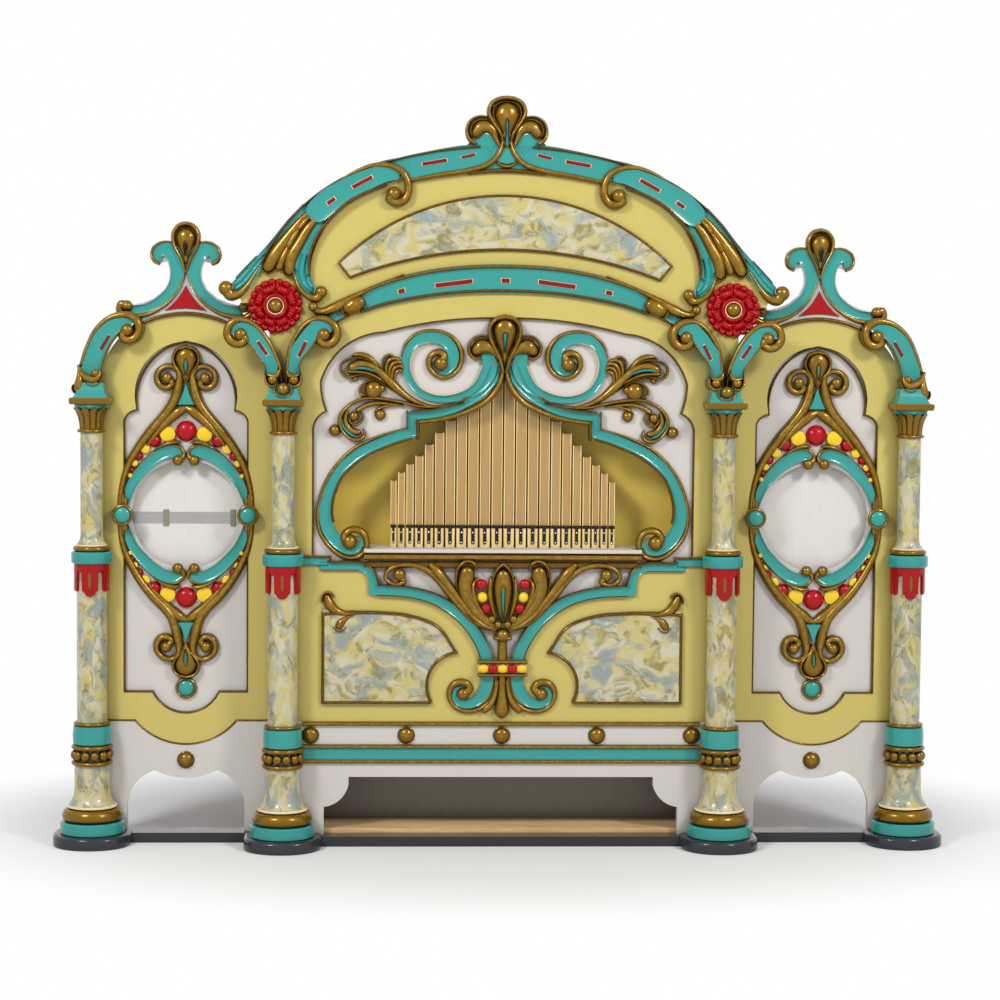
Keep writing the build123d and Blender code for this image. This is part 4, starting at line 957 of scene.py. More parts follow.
class ORGAN_OT_column_stems(bpy.types.Operator):
    """Marbled feet and shafts, the bead ring, the turquoise band and the middle ring"""
    bl_idname = "organ.column_stems"
    bl_label = "Column shafts"

    def execute(self, context):
        foot_low, foot_high = node_box("column_feet")
        shaft_low, shaft_high = node_box("column_lower_shafts")
        upper_low, upper_high = node_box("column_upper_shafts")
        axis = column_spots()[-1][0]
        shaft, upper = shaft_high.x - axis, upper_high.x - axis
        lip = 73.0

        def foot(carving, x, stand):
            points = [(lip - 8, foot_low.z, "black"), (lip, foot_low.z + 2, "cream"),
                (lip, foot_low.z + 6, "cream"), (lip - 3, foot_low.z + 8, "marble_post")]
            for share in np.linspace(0, 1, 12):
                points.append((52 + (lip - 56) * (1 - share) ** 3.2, foot_low.z + 9 + 64 * share,
                    "marble_post"))
            points.append((51, foot_high.z, "marble_post"))
            carving.post(x, stand, points)
        at_columns(foot).build("column_feet_turned", "marbled_paint", "column_feet")

        def lower(carving, x, stand):
            carving.post(x, stand, [(shaft, z, "marble_post") for z in (shaft_low.z, shaft_low.z + 30,
                shaft_high.z - 4, shaft_high.z)])
        at_columns(lower).build("column_lower_shafts_turned", "marbled_paint", "column_lower_shafts")

        def top(carving, x, stand):
            points = [(upper + 13, upper_low.z, "cream"), (upper + 13, upper_low.z + 3, "cream")]
            for share in np.linspace(0, 1, 10):
                points.append((upper + 11 * (1 - share) ** 3, upper_low.z + 4 + 34 * share,
                    "marble_post"))
            points.append((upper, upper_high.z, "marble_post"))
            carving.post(x, stand, points)
        at_columns(top).build("column_upper_shafts_turned", "marbled_paint", "column_upper_shafts")

        bead_low, band_top = node_box("column_bands")[0].z, node_box("column_bands")[1].z
        ring, bead_high = 13.0, bead_low + 60
        bead, bead_circle, bead_count = 13.5, 50.0, 12

        def bands(carving, x, stand):
            points = swelling(61, bead_low, ring, "gold")
            points += [(45, bead_low + ring, "turquoise"), (45, bead_high - ring, "turquoise")]
            points += swelling(61, bead_high - ring, ring, "gold")
            points += [(51, bead_high, "turquoise"), (56, bead_high + 4, "turquoise"),
                (57, bead_high + 32, "turquoise"), (55, band_top - 12, "turquoise"),
                (50, band_top - 11, "black")]
            points += swelling(54, band_top - 10, 10, "gold") + [(45, band_top, "gold")]
            carving.post(x, stand, points)
            middle = (bead_low + bead_high) / 2
            for i in range(bead_count):
                turn = 2 * pi * (i + 0.5) / bead_count
                out = stand + bead_circle * sin(turn)
                if out > bead:
                    spot = (x + bead_circle * cos(turn), middle, out)
                    rings = []
                    for up in (-82, -60, -35, -12, 12, 35, 60, 82):
                        r = bead * cos(radians(up))
                        rings.append([(spot[0] + r * cos(2 * pi * k / 14),
                            middle + (ring + 2) * sin(radians(up)), out + r * sin(2 * pi * k / 14))
                            for k in range(14)])
                    carving.shell(rings, [[0.8] * 14] * 8, ["gold"], ["gold", "gold"])
        at_columns(bands).build("column_bead_bands", "turquoise_paint", "column_bands")

        ring_low, ring_high = node_box("column_rings")[0].z, node_box("column_rings")[1].z
        gold_z = ring_high - 15

        def rings_at(carving, x, stand):
            points = [(50, ring_low, "turquoise"), (57, ring_low + 1, "turquoise"),
                (60, ring_low + 5, "turquoise"), (60, gold_z - 7, "turquoise"),
                (56, gold_z - 2, "turquoise"), (50, gold_z - 1, "black")]
            points += swelling(55, gold_z, ring_high - gold_z - 1, "gold")
            points.append((44, ring_high, "black"))
            carving.post(x, stand, points)
        at_columns(rings_at).build("column_middle_rings", "turquoise_paint", "column_rings")
        return {"FINISHED"}


class ORGAN_OT_column_drops(bpy.types.Operator):
    """Red scalloped drops under each middle ring, cut round the shaft"""
    bl_idname = "organ.column_drops"
    bl_label = "Column drops"

    def execute(self, context):
        top = node_box("column_drops")[1].z
        inner = node_box("column_lower_shafts")[1].x - column_spots()[-1][0]
        outer = inner + 8
        hem, deep, lobe = 24.0, 80.0, 14.0

        def depth_at(degrees):
            """How far the cloth hangs down at a turn from the front."""
            away = abs(degrees)
            if away < 28:
                return deep + lobe * sqrt(max(0.0, 1 - (away / 21) ** 2))
            if 48 < away < 104:
                return deep - 8 + 10 * sqrt(abs(sin(radians((away - 48) * 180 / 28))))
            return hem

        def draw(carving, x, stand):
            rings = []
            for degrees in np.linspace(-116, 116, 150):
                turn = radians(degrees)
                side, out = sin(turn), cos(turn)
                low = top - depth_at(degrees)
                rings.append([(x + r * side, z, max(stand + r * out, 0.0)) for r,
                    z in ((inner - 1, top), (outer, top), (outer, low + 5), (outer - 3, low),
                    (inner - 1, low))])
            carving.shell(rings, [[0.5] * 5] * len(rings), ["red"], ["red", "red"])
            rings = []
            for share in np.linspace(0, 1, 11):
                z = top - 24 - 46 * share
                turn = 4.2 * sqrt(max(0.06, 1 - (2 * share - 1) ** 4)) / outer
                edge = ((outer + 1.2) * sin(turn), stand + (outer + 1.2) * cos(turn))
                rings.append([(x - edge[0], z, edge[1]), (x, z, stand + outer + 2.4),
                    (x + edge[0], z, edge[1]), (x, z, stand + outer - 2)])
            carving.shell(rings, [[0.6] * 4] * 11, ["gold"], ["gold", "gold"])
        at_columns(draw).build("column_drops_cut", "red_paint", "column_drops")
        return {"FINISHED"}


class ORGAN_OT_column_capitals(bpy.types.Operator):
    """Flared leaf capitals with their scalloped tops, square slabs and turquoise blocks"""
    bl_idname = "organ.column_capitals"
    bl_label = "Capitals"

    def execute(self, context):
        low, high = node_box("column_capitals")
        block_top = node_box("capital_blocks")[1].z
        outer = column_spots()[-1][0]
        slab_z = high.z - 19.0
        half = (high.x - low.x) / 2 - outer - 3
        tall = slab_z - low.z
        leaves, count = 12, 96

        def draw(carving, x, stand):
            carving.post(x, stand, swelling(42, low.z, 10, "gold") + [(33, low.z + 10, "gold")])
            rings = []
            crests = []
            for share in np.linspace(0, 1, 18):
                ring = []
                crest = []
                for j in range(count):
                    turn = 2 * pi * j / count
                    fold = abs(sin(leaves * turn / 2))
                    radius = 34 + 17 * share ** 2.6 + (2.4 + 3.6 * share) * (fold ** 0.7 - 0.5)
                    droop = 9 * (1 - fold) ** 0.9 * share ** 5
                    ring.append((x + radius * cos(turn), low.z + 9 + (tall - 19) * share - droop,
                        max(stand + radius * sin(turn), 0.0)))
                    # Painted highlight on the folds of the leaves and painted shade between them,
                    # through the bronze paint.
                    crest.append(0.15 + 0.65 * fold)
                rings.append(ring)
                crests.append(crest)
            carving.shell(rings, crests, ["gold"], ["gold", "gold"])
            carving.post(x, stand, [(38, slab_z - 20, "black"), (46, slab_z - 14, "turquoise"),
                (50, slab_z - 8, "turquoise"), (51, slab_z - 2, "turquoise"),
                (50, slab_z, "turquoise")])
            reach = stand + half
            carving.block([(x, half - 4, reach - 4, slab_z), (x, half - 1, reach - 1, slab_z + 3),
                (x, half - 1, reach - 1, slab_z + 6), (x, half, reach, slab_z + 9),
                (x, half, reach, high.z - 3), (x, half - 3, reach - 3, high.z)], "gold")
            foot, neck = half - 9, (37.0 if abs(x) > outer - 1 else half - 18)
            levels = []
            for share in np.linspace(0, 1, 9):
                pull = (foot - neck) * (1 - (1 - share) ** 2.4)
                levels.append((x, foot - pull, reach - 12 - 1.6 * pull,
                    high.z + (block_top - 10 - high.z) * share))
            carving.block(levels, "turquoise")
        at_columns(draw).build("column_capitals_carved", "gold_paint", "column_capitals",
            "capital_blocks")
        return {"FINISHED"}


# Consoles

def inner_console(carving, axis, side):
    """One scrolled console of an inner column; side is 1 away from the middle, -1 towards it."""
    stand, front = 38.0, 72.0
    if side > 0:
        body = [(39, 1384, 26), (37, 1420, 34), (49, 1451, 43), (69, 1483, 48), (94, 1511, 45),
            (122, 1529, 36), (146, 1521, 22)]
        rim = [(5, 1352, 9), (8, 1385, 11), (12, 1415, 12), (23, 1445, 13), (42, 1484, 14),
            (69, 1521, 15), (100, 1545, 17), (134, 1550, 21), (157, 1535, 24), (164, 1508, 26),
            (150, 1486, 27), (127, 1481, 27), (112, 1492, 26)]
        eye, marks = (125, 1508, 38), ((76, 1490), (47, 1448))
    else:
        body = [(38, 1384, 24), (28, 1420, 32), (38, 1452, 39), (60, 1484, 42), (82, 1515, 39),
            (107, 1538, 32), (129, 1528, 21)]
        rim = [(5, 1352, 9), (8, 1385, 11), (12, 1433, 12), (19, 1471, 13), (38, 1509, 14),
            (63, 1540, 15), (94, 1556, 17), (127, 1552, 21), (149, 1534, 24), (154, 1508, 26),
            (140, 1486, 27), (118, 1482, 27), (103, 1493, 26)]
        eye, marks = (116, 1509, 38), ((65, 1490), (42, 1444))

    def placed(points):
        return [(axis + side * p[0],) + tuple(p[1:]) for p in points]
    carving.stroke(placed([(x, z, w + 6) for x, z, w in body]), band_section, 12, 0, stand)
    carving.edging(placed(body), 6, -side, 17, wall=stand, span=(0.04, 0.84))
    carving.scroll(placed(rim), placed([eye])[0], 22, wall=stand - 4)
    carving.ridge(placed([(11, 1404, 8), (17, 1391, 15), (29, 1387, 17), (44, 1392, 8)]), 17, 0, front)
    carving.ball(axis + side * 31, 1377, 15, base=front)
    carving.ridge(placed([(50, 1390, 4), (51, 1374, 8), (41, 1361, 9), (26, 1359, 8), (15, 1370, 4)]),
        16, 0, front)
    first, last = placed(marks)
    dash(carving, first, last, 11.5, stand + 4.5)


class ORGAN_OT_consoles(bpy.types.Operator):
    """Scrolled consoles over the columns, carrying the arches"""
    bl_idname = "organ.consoles"
    bl_label = "Consoles"

    def execute(self, context):
        inner, outer = column_spots()[2][0], column_spots()[3][0]
        middle = Carving(CENTRE_FACE)
        for side in (1, -1):
            inner_console(middle, inner, side)
        middle.ball(inner, 1350, 19, base=76)
        middle.ridge([(inner - 25, 1362, 4), (inner - 25, 1345, 7), (inner - 15, 1329, 8),
            (inner, 1325, 9), (inner + 15, 1329, 8), (inner + 25, 1345, 7), (inner + 25, 1362, 4)], 14,
            0, 76)
        wing = Carving(WING_FACE)
        stand, front = 38.0, 64.0

        def placed(points):
            return [(outer - p[0],) + tuple(p[1:]) for p in points]
        body = [(0, 1388, 40), (2, 1410, 50), (8, 1446, 56), (29, 1494, 58), (64, 1531, 51),
            (104, 1543, 34)]
        wing.stroke(placed([(x, z, w + 6) for x, z, w in body]), band_section, 12, 0, stand)
        wing.edging(placed(body), 6, 1, 17, wall=stand, span=(0.04, 0.88))
        wing.scroll(placed([(-36, 1408, 8), (-29, 1420, 13), (-23, 1440, 14), (-14, 1466, 14),
            (12, 1518, 15), (56, 1555, 18), (106, 1562, 23), (131, 1546, 26), (138, 1518, 27),
            (124, 1495, 28), (102, 1490, 28), (89, 1502, 26)]), placed([(103, 1518, 38)])[0], 22,
            wall=stand - 4)
        wing.ridge(placed([(-37, 1412, 7), (-27, 1390, 18), (-9, 1376, 25), (9, 1372, 26),
            (23, 1381, 19), (28, 1396, 8)]), 19, 0, front - 6)
        wing.ridge(placed([(-24, 1374, 4), (-8, 1359, 7), (10, 1355, 8), (27, 1365, 7), (35, 1386, 4)]),
            19, 0, front - 8)
        wing.ball(outer - 14, 1391, 12, base=front)
        wing.husk(placed([(-35, 1412, 5), (-33, 1388, 16), (-33, 1364, 28), (-37, 1348, 31)]), 20,
            front - 8)
        first, last = placed([(53, 1503), (26, 1458)])
        dash(wing, first, last, 12, stand + 4.5)
        middle.take(wing)
        middle.both_sides()
        middle.build("consoles_carved", "turquoise_paint", "consoles")
        return {"FINISHED"}


# Head

class ORGAN_OT_top_arch(bpy.types.Operator):
    """Arched turquoise and gilt mouldings of the head with their forked ends"""
    bl_idname = "organ.top_arch"
    bl_label = "Top arch"

    def execute(self, context):
        made = Carving(HEAD_FACE)
        made.stroke([(52, 2034, 56), (103, 2028, 76), (190, 2015, 76), (300, 1998, 62), (370, 1991, 44),
            (430, 1972, 26), (480, 1948, 12)], band_section, 14)
        made.ridge([(8, 2104, 13), (11, 2072, 17), (24, 2038, 19), (52, 2011, 19), (106, 1993, 17),
            (190, 1979, 15), (280, 1962, 12)], 24)
        edge = arc((0, 2066), (393, 2003), 16, 10) + arc((393, 2003), (711, 1725), 44, 12)[1:]
        made.edging(wide(edge[2:], 0), 8, -1, 17, finish="line")
        # Side leg of the fork, next to the edge of the head
        side = [(583, 1876, 32), (627, 1833, 28), (666, 1785, 26), (702, 1741, 29), (734, 1701, 38),
            (765, 1663, 44), (790, 1642, 34)]
        made.stroke(side[:5], band_section, 16)
        made.stroke(side[3:], fluted_section, 16, blunt=SQUARE_FIRST)
        made.edging(side, 4, 1, 17, span=(0.62, 0.93), finish="line")
        made.scroll([(700, 1730, 5), (726, 1694, 10), (752, 1654, 16), (778, 1627, 25),
            (802, 1622, 34)], (816, 1642, 44), 24)
        made.ridge([(797, 1660, 2), (795, 1646, 3), (799, 1635, 2)], 20, finish="white")
        # Inner leg of the fork
        inner = [(514, 1890, 26), (543, 1837, 35), (570, 1790, 39), (589, 1742, 43), (597, 1699, 47),
            (588, 1661, 45), (570, 1642, 30)]
        made.stroke(inner[:5], band_section, 16)
        made.stroke(inner[3:], fluted_section, 16, blunt=SQUARE_FIRST)
        made.edging(inner, 5, -1, 17, span=(0.1, 0.8), finish="line")
        made.scroll([(622, 1735, 6), (620, 1690, 10), (603, 1646, 15), (576, 1621, 21),
            (552, 1616, 28)], (539, 1634, 35), 23)
        made.ridge([(559, 1652, 2), (556, 1640, 4), (560, 1629, 3)], 22, finish="white")
        # Husks between the legs, the middle one in three beads
        made.husk([(559, 1883, 8), (597, 1843, 24), (640, 1789, 34), (676, 1738, 41), (693, 1706, 36)],
            22)
        made.husk([(532, 1862, 10), (572, 1826, 28), (602, 1778, 34), (627, 1731, 39), (632, 1697, 34)],
            22)
        for a, b in (((566, 1862, 7), (603, 1819, 17)), ((605, 1816, 13), (634, 1768, 21)),
                     ((636, 1764, 15), (661, 1706, 25))):
            middle = ((a[0] + b[0]) / 2 + 1, (a[1] + b[1]) / 2, max(a[2], b[2]))
            made.ridge([a, middle, b], 19)
        # Shoulder piece with its volute at the upper end
        made.stroke([(324, 1974, 26), (357, 1977, 48), (406, 1961, 58), (461, 1934, 64),
            (515, 1900, 70), (549, 1870, 68)], band_section, 14, 9)
        made.scroll([(494, 1954, 4), (440, 1984, 11), (386, 2003, 15), (339, 2002, 18), (303, 1984, 22),
            (288, 1955, 24), (287, 1925, 25), (299, 1903, 26), (321, 1896, 27), (340, 1905, 27)],
            (329, 1921, 42), 24, 7)
        made.ridge([(350, 1946, 6), (404, 1926, 11), (462, 1894, 12), (503, 1858, 11), (541, 1812, 10),
            (566, 1761, 9), (575, 1717, 8), (573, 1680, 6)], 22, 7, finish="line")
        for start, end, width in (((90, 2039), (134, 2028), 9), ((172, 2021), (248, 2008), 12),
                                  ((390, 1970), (451, 1937), 13), ((498, 1907), (524, 1889), 13)):
            dash(made, start, end, width, 6.5 if start[0] < 300 else 15.5)
        made.both_sides()
        made.plate(both_halves([(72, 1990), (52, 2030), (20, 2080)]), 8, "turquoise")
        made.ridge([(-110, 1984, 10), (-50, 1991, 13), (0, 1993, 14), (50, 1991, 13), (110, 1984, 10)],
            16, finish="line")
        made.build("top_arch_carved", "turquoise_paint", "top_arch")
        return {"FINISHED"}


class ORGAN_OT_crest_finial(bpy.types.Operator):
    """Gilt finial on the crown of the head"""
    bl_idname = "organ.crest_finial"
    bl_label = "Finial"

    def execute(self, context):
        made = Carving(HEAD_FACE)
        made.ridge([(16, 2058, 12), (29, 2080, 18), (38, 2104, 28), (54, 2118, 37), (76, 2118, 40),
            (90, 2102, 31)], 25)
        made.ridge([(32, 2122, 4), (52, 2137, 6), (78, 2139, 7), (98, 2128, 7), (106, 2108, 7),
            (102, 2090, 6)], 20)
        made.ridge([(34, 2130, 5), (56, 2146, 8), (84, 2148, 9), (108, 2134, 10), (117, 2108, 11),
            (111, 2084, 13), (96, 2072, 15)], 24)
        made.stroke([(44, 2124, 36), (78, 2122, 54), (93, 2104, 46)], flat_section, 9, finish="line")
        made.stroke([(28, 2048, 20), (52, 2074, 40), (77, 2080, 34), (104, 2060, 26)], band_section, 12)
        made.ridge([(8, 2070, 12), (19, 2102, 14), (39, 2130, 15), (53, 2161, 15), (44, 2187, 15),
            (22, 2200, 15), (0, 2203, 15)], 27, blunt=SQUARE_LAST)
        made.ridge([(10, 2096, 6), (28, 2124, 8), (41, 2154, 8), (35, 2179, 8), (17, 2190, 7),
            (0, 2192, 7)], 22, blunt=SQUARE_LAST)
        made.both_sides()
        made.stroke([(0, 2152, 98), (0, 2130, 90), (0, 2100, 60), (0, 2075, 40), (0, 2040, 60)],
            flat_section, 8, finish="line")
        made.bulb([(0, 2152, 76), (0, 2134, 64), (0, 2112, 44), (0, 2088, 30), (0, 2064, 24)],
            [(0, 2139, 5), (0, 2128, 8), (0, 2100, 7), (0, 2066, 10)], 30, 2)
        made.plate(both_halves([(5, 2074), (14, 2052), (30, 2026), (20, 2015), (0, 2010)]), 15,
            "turquoise")
        made.ridge([(-31, 2025, 7), (-20, 2010, 11), (0, 2004, 13), (20, 2010, 11), (31, 2025, 7)], 20)
        made.build("crest_finial_carved", "gold_paint", "crest_finial")
        return {"FINISHED"}


class ORGAN_OT_lower_arch(bpy.types.Operator):
    """Turquoise arch over the middle field, with gilt ends"""
    bl_idname = "organ.lower_arch"
    bl_label = "Lower arch"

    def execute(self, context):
        made = Carving(HEAD_FACE)
        made.stroke([(446, 1591, 36), (492, 1567, 34), (532, 1545, 32)], band_section, 12)
        made.ridge([(446, 1573, 7), (490, 1550, 7), (528, 1529, 7)], 14, finish="line")
        made.scroll([(300, 1686, 7), (370, 1657, 10), (423, 1631, 17), (462, 1609, 26), (498, 1589, 32),
            (528, 1577, 27), (550, 1577, 21)], (562, 1590, 28), 22, 3)
        made.ridge([(470, 1597, 3), (497, 1581, 5), (525, 1571, 3)], 5, 20)
        made.ridge([(430, 1603, 42), (441, 1597, 52), (455, 1590, 46)], 30, 4)
        made.ridge([(455, 1625, 3), (473, 1611, 7), (480, 1591, 9), (471, 1570, 8), (458, 1564, 4)], 20,
            3)
        for start, end in (((95, 1670), (208, 1655)), ((293, 1642), (316, 1636))):
            dash(made, start, end, 15, 7.5)
        made.both_sides()
        half = [(430, 1600, 58), (362, 1628, 68), (252, 1656, 78), (130, 1673, 82)]
        line = half + [(0, 1678, 83)] + [(-x, z, w) for x, z, w in half[::-1]]
        made.stroke(line, band_section, 14, blunt=SQUARE_ENDS)
        slim = [(x, z, w - 20) for x, z, w in line]
        made.edging(slim, 10, -1, 20)
        made.edging(slim, 10, 1, 17, finish="line")
        dash(made, (-14, 1672), (14, 1672), 15, 7.5)
        made.build("lower_arch_carved", "turquoise_paint", "lower_arch")
        return {"FINISHED"}


class ORGAN_OT_name_field(bpy.types.Operator):
    """Gilt edge round the bare marbled field in the head"""
    bl_idname = "organ.name_field"
    bl_label = "Name field"

    def execute(self, context):
        low, high = node_box("name_panel")
        half = high.x
        face = low.y
        made = Carving(HEAD_FACE)
        lift = HEAD_FACE - face
        tip, heel = (half, 1719), (half - 33, 1678)
        upper = arc((-tip[0], tip[1]), tip, high.z - tip[1], 28)
        under = arc(heel, (-heel[0], heel[1]), -(1763 - heel[1]), 28)
        width = carving_settings().line + 2
        runs = [wide(upper, width), wide([tip, heel], width), wide(under, width),
            wide([(-heel[0], heel[1]), (-tip[0], tip[1])], width)]
        made.ridge(None, lift + 4, 0, runs=runs, blunt=SQUARE_ENDS, finish="line")
        made.build("name_field_edge", "gold_paint")
        return {"FINISHED"}


class ORGAN_OT_rosettes(bpy.types.Operator):
    """Scalloped red rosettes with gilt centres"""
    bl_idname = "organ.rosettes"
    bl_label = "Rosettes"

    def execute(self, context):
        boxes = solids_of("rosettes")
        low, high = boxes[-1]
        x, z, outer = disc_of(low, high)
        steps, petals, leaves = 240, 20, 8
        made = Carving(HEAD_FACE)
        rings = []
        crests = []
        profile = [(1.0, 0.0), (1.0, 8.0), (0.98, 13.0), (0.92, 16.5), (0.86, 16.0), (0.81, 12.0),
            (0.78, 9.0), (0.75, 14.0), (0.7, 18.0), (0.63, 20.0), (0.57, 19.0), (0.52, 15.0),
            (0.48, 9.0), (0.45, 15.0), (0.41, 19.5), (0.36, 20.0), (0.32, 16.0), (0.3, 10.0)]
        for share, height in profile:
            ring = []
            crest = []
            for i in range(steps):
                turn = 2 * pi * i / steps
                small = abs(sin(petals * turn / 2)) ** 0.55
                leaf = abs(sin(leaves * turn / 2)) ** 0.5
                seam = abs(sin(petals * turn))
                rim = max(0.0, (share - 0.79) / 0.21)
                broad = 1.0 if 0.49 < share < 0.77 else 0.0
                radius = outer * share * (1 - 0.075 * (1 - small) * rim)
                lift = height * (1 - 0.5 * (1 - small) * min(1, rim * 3)
                                 - (0.62 * (1 - leaf) + 0.1 * seam) * broad)
                ring.append((radius * cos(turn), radius * sin(turn), lift))
                crest.append(0.5)
            rings.append(ring)
            crests.append(crest)
        made.shell(rings, crests, ["red"], ["red", "red"])
        made.turned(0, 0, [(outer * 0.32, 8), (outer * 0.325, 13), (outer * 0.31, 15.5),
            (outer * 0.28, 15), (outer * 0.27, 8)], "cream")
        made.dome(0, 0, outer * 0.27, 17, base=9)
        made.points = [(px, py, pz + z) for px, py, pz in made.points]
        made.copies((x, -x), (1, -1))
        made.build("rosettes_carved", "red_paint", "rosettes", sharp=60)
        return {"FINISHED"}


# Wings

class ORGAN_OT_wing_crests(bpy.types.Operator):
    """Scrolled crests on the heads of the wings, on their white backing"""
    bl_idname = "organ.wing_crests"
    bl_label = "Wing crests"

    def execute(self, context):
        made = Carving(WING_FACE)
        arm = [(80, 1726, 18), (82, 1742, 34), (66, 1755, 46), (46, 1751, 50), (33, 1735, 47),
            (25, 1707, 42), (26, 1669, 38), (42, 1632, 35), (72, 1603, 33), (112, 1583, 28),
            (158, 1577, 22)]
        made.stroke(arm, band_section, 13, wall=4)
        made.edging(arm, 4.5, 1, 17, span=(0.2, 0.97), finish="white")
        made.ridge([(24, 1758, 7), (44, 1776, 8), (70, 1776, 9), (93, 1762, 10), (100, 1740, 11),
            (92, 1722, 13), (80, 1714, 11)], 21)
        made.scroll([(5, 1706, 8), (9, 1670, 10), (24, 1635, 11), (54, 1599, 12), (98, 1571, 14),
            (144, 1559, 18), (174, 1558, 21), (193, 1573, 23), (190, 1594, 23)], (172, 1589, 34), 21)
        made.ridge([(1, 1690, 9), (15, 1732, 12), (34, 1770, 14), (36, 1803, 14), (20, 1826, 14),
            (0, 1832, 14)], 23, blunt=SQUARE_LAST)
        made.copies((0, 0), (1, -1))
        made.stroke([(0, 1792, 70), (0, 1768, 54), (0, 1735, 26), (0, 1704, 8)], flat_section, 8,
            finish="line")
        made.bulb([(0, 1787, 62), (0, 1762, 44), (0, 1735, 22), (0, 1718, 10)], [(0, 1777, 6),
            (0, 1768, 11), (0, 1752, 7), (0, 1738, 2)], 25, 2, "black")
        made.ridge([(-160, 1523, 9), (-124, 1541, 10), (-74, 1559, 11), (0, 1569, 11), (74, 1559, 11),
            (124, 1541, 10), (160, 1523, 9)], 13, finish="line")
        made.plate(both_halves([(20, 1826), (38, 1800), (34, 1765), (52, 1780), (78, 1780), (100, 1764),
            (106, 1740), (96, 1716), (78, 1708), (70, 1716), (52, 1722), (44, 1700), (46, 1672),
            (62, 1640), (92, 1614), (126, 1600), (160, 1592), (168, 1564), (128, 1541), (74, 1560),
            (0, 1570)]), 4, "white")
        made.plate(both_halves([(0, 1651), (9, 1633), (24, 1611), (42, 1592), (61, 1577), (30, 1582),
            (0, 1584)]), 10, "red", edge=1.5)
        made.copies((-WING_AXIS, WING_AXIS))
        made.build("wing_crests_carved", "turquoise_paint", "wing_crests")
        return {"FINISHED"}


class ORGAN_OT_drum_frames(bpy.types.Operator):
    """Gilt frames with scrolls and crescents round the drum openings"""
    bl_idname = "organ.drum_frames"
    bl_label = "Drum frames"

    def execute(self, context):
        made = Carving(WING_FIELD_FACE)
        up = BOARD_STEP
        made.scroll([(196, 985, 16), (193, 1032, 18), (184, 1079, 20), (167, 1127, 24), (141, 1171, 27),
            (106, 1219, 30), (72, 1258, 31), (46, 1292, 32), (30, 1325, 33), (22, 1356, 29),
            (19, 1384, 22), (27, 1403, 18), (44, 1413, 18), (64, 1411, 19), (81, 1397, 20),
            (86, 1376, 21), (77, 1357, 22), (57, 1350, 22), (41, 1361, 21)], (56, 1379, 34), up + 13)
        made.scroll([(196, 975, 16), (192, 915, 18), (181, 868, 21), (164, 830, 25), (134, 778, 28),
            (98, 732, 30), (64, 698, 31), (43, 671, 32), (32, 640, 32), (24, 606, 30), (20, 576, 24),
            (27, 554, 19), (45, 544, 19), (67, 549, 20), (84, 566, 21), (87, 588, 22), (76, 607, 23),
            (57, 611, 22), (43, 599, 21)], (59, 581, 34), up + 13)
        made.ridge([(4, 1289, 22), (20, 1281, 33), (50, 1256, 30), (88, 1215, 20), (124, 1166, 8)],
            up + 12)
        made.ridge([(4, 664, 22), (20, 672, 33), (50, 697, 30), (86, 736, 20), (118, 780, 8)], up + 12)
        made.ridge([(1, 1368, 8), (12, 1390, 10), (33, 1416, 12), (38, 1440, 12), (26, 1462, 12),
            (0, 1470, 12)], up + 11, blunt=SQUARE_LAST)
        made.ridge([(1, 592, 8), (14, 565, 10), (33, 543, 12), (38, 520, 12), (26, 500, 12),
            (0, 492, 12)], up + 11, blunt=SQUARE_LAST)
        # Crescents that hold the opening, curling into balls where they meet
        for flip in (1, -1):
            def mirrored(points):
                return [(x, DRUM_Z + flip * z, w) for x, z, w in points]
            made.stroke(mirrored([(15, 178, 22), (36, 186, 32), (64, 181, 35), (98, 160, 34),
                (127, 132, 32), (152, 102, 29), (169, 66, 24), (178, 30, 14)]), band_section, up + 4)
            made.scroll(mirrored([(186, 50, 5), (178, 82, 6), (160, 118, 6), (134, 150, 7),
                (100, 180, 8), (66, 199, 9), (36, 205, 10), (14, 196, 11), (6, 176, 13)]),
                mirrored([(24, 160, 33)])[0], up + 9)
            made.ridge(mirrored([(20, 214, 10), (40, 214, 15), (66, 206, 13), (96, 188, 5)]), up + 12)
        made.stroke([(183, 1018, 22), (183, 932, 22)], flat_section, up + 2, finish="gold")
        made.copies((0, 0), (1, -1))
        for flip, axis_z in ((1, 1430), (-1, 533)):
            def turned_over(points):
                return [(x, axis_z + flip * z, w) for x, z, w in points]
            made.stroke(turned_over([(0, 2, 62), (0, -20, 44), (0, -50, 12)]), flat_section, up - 2,
                finish="line")
            made.bulb(turned_over([(0, 3, 66), (0, -20, 46), (0, -48, 16)]), turned_over([(0, 4, 4),
                (0, -8, 9), (0, -24, 8), (0, -42, 2)]), 18, up - 2)
        made.plate(both_halves([(24, 1300), (14, 1324), (0, 1362)]), up + 2, "turquoise")
        made.plate(both_halves([(23, 655), (13, 634), (0, 600)]), up + 2, "turquoise")
        made.copies((-WING_AXIS, WING_AXIS))
        made.build("drum_frames_carved", "gold_paint", "wing_carvings")
        return {"FINISHED"}


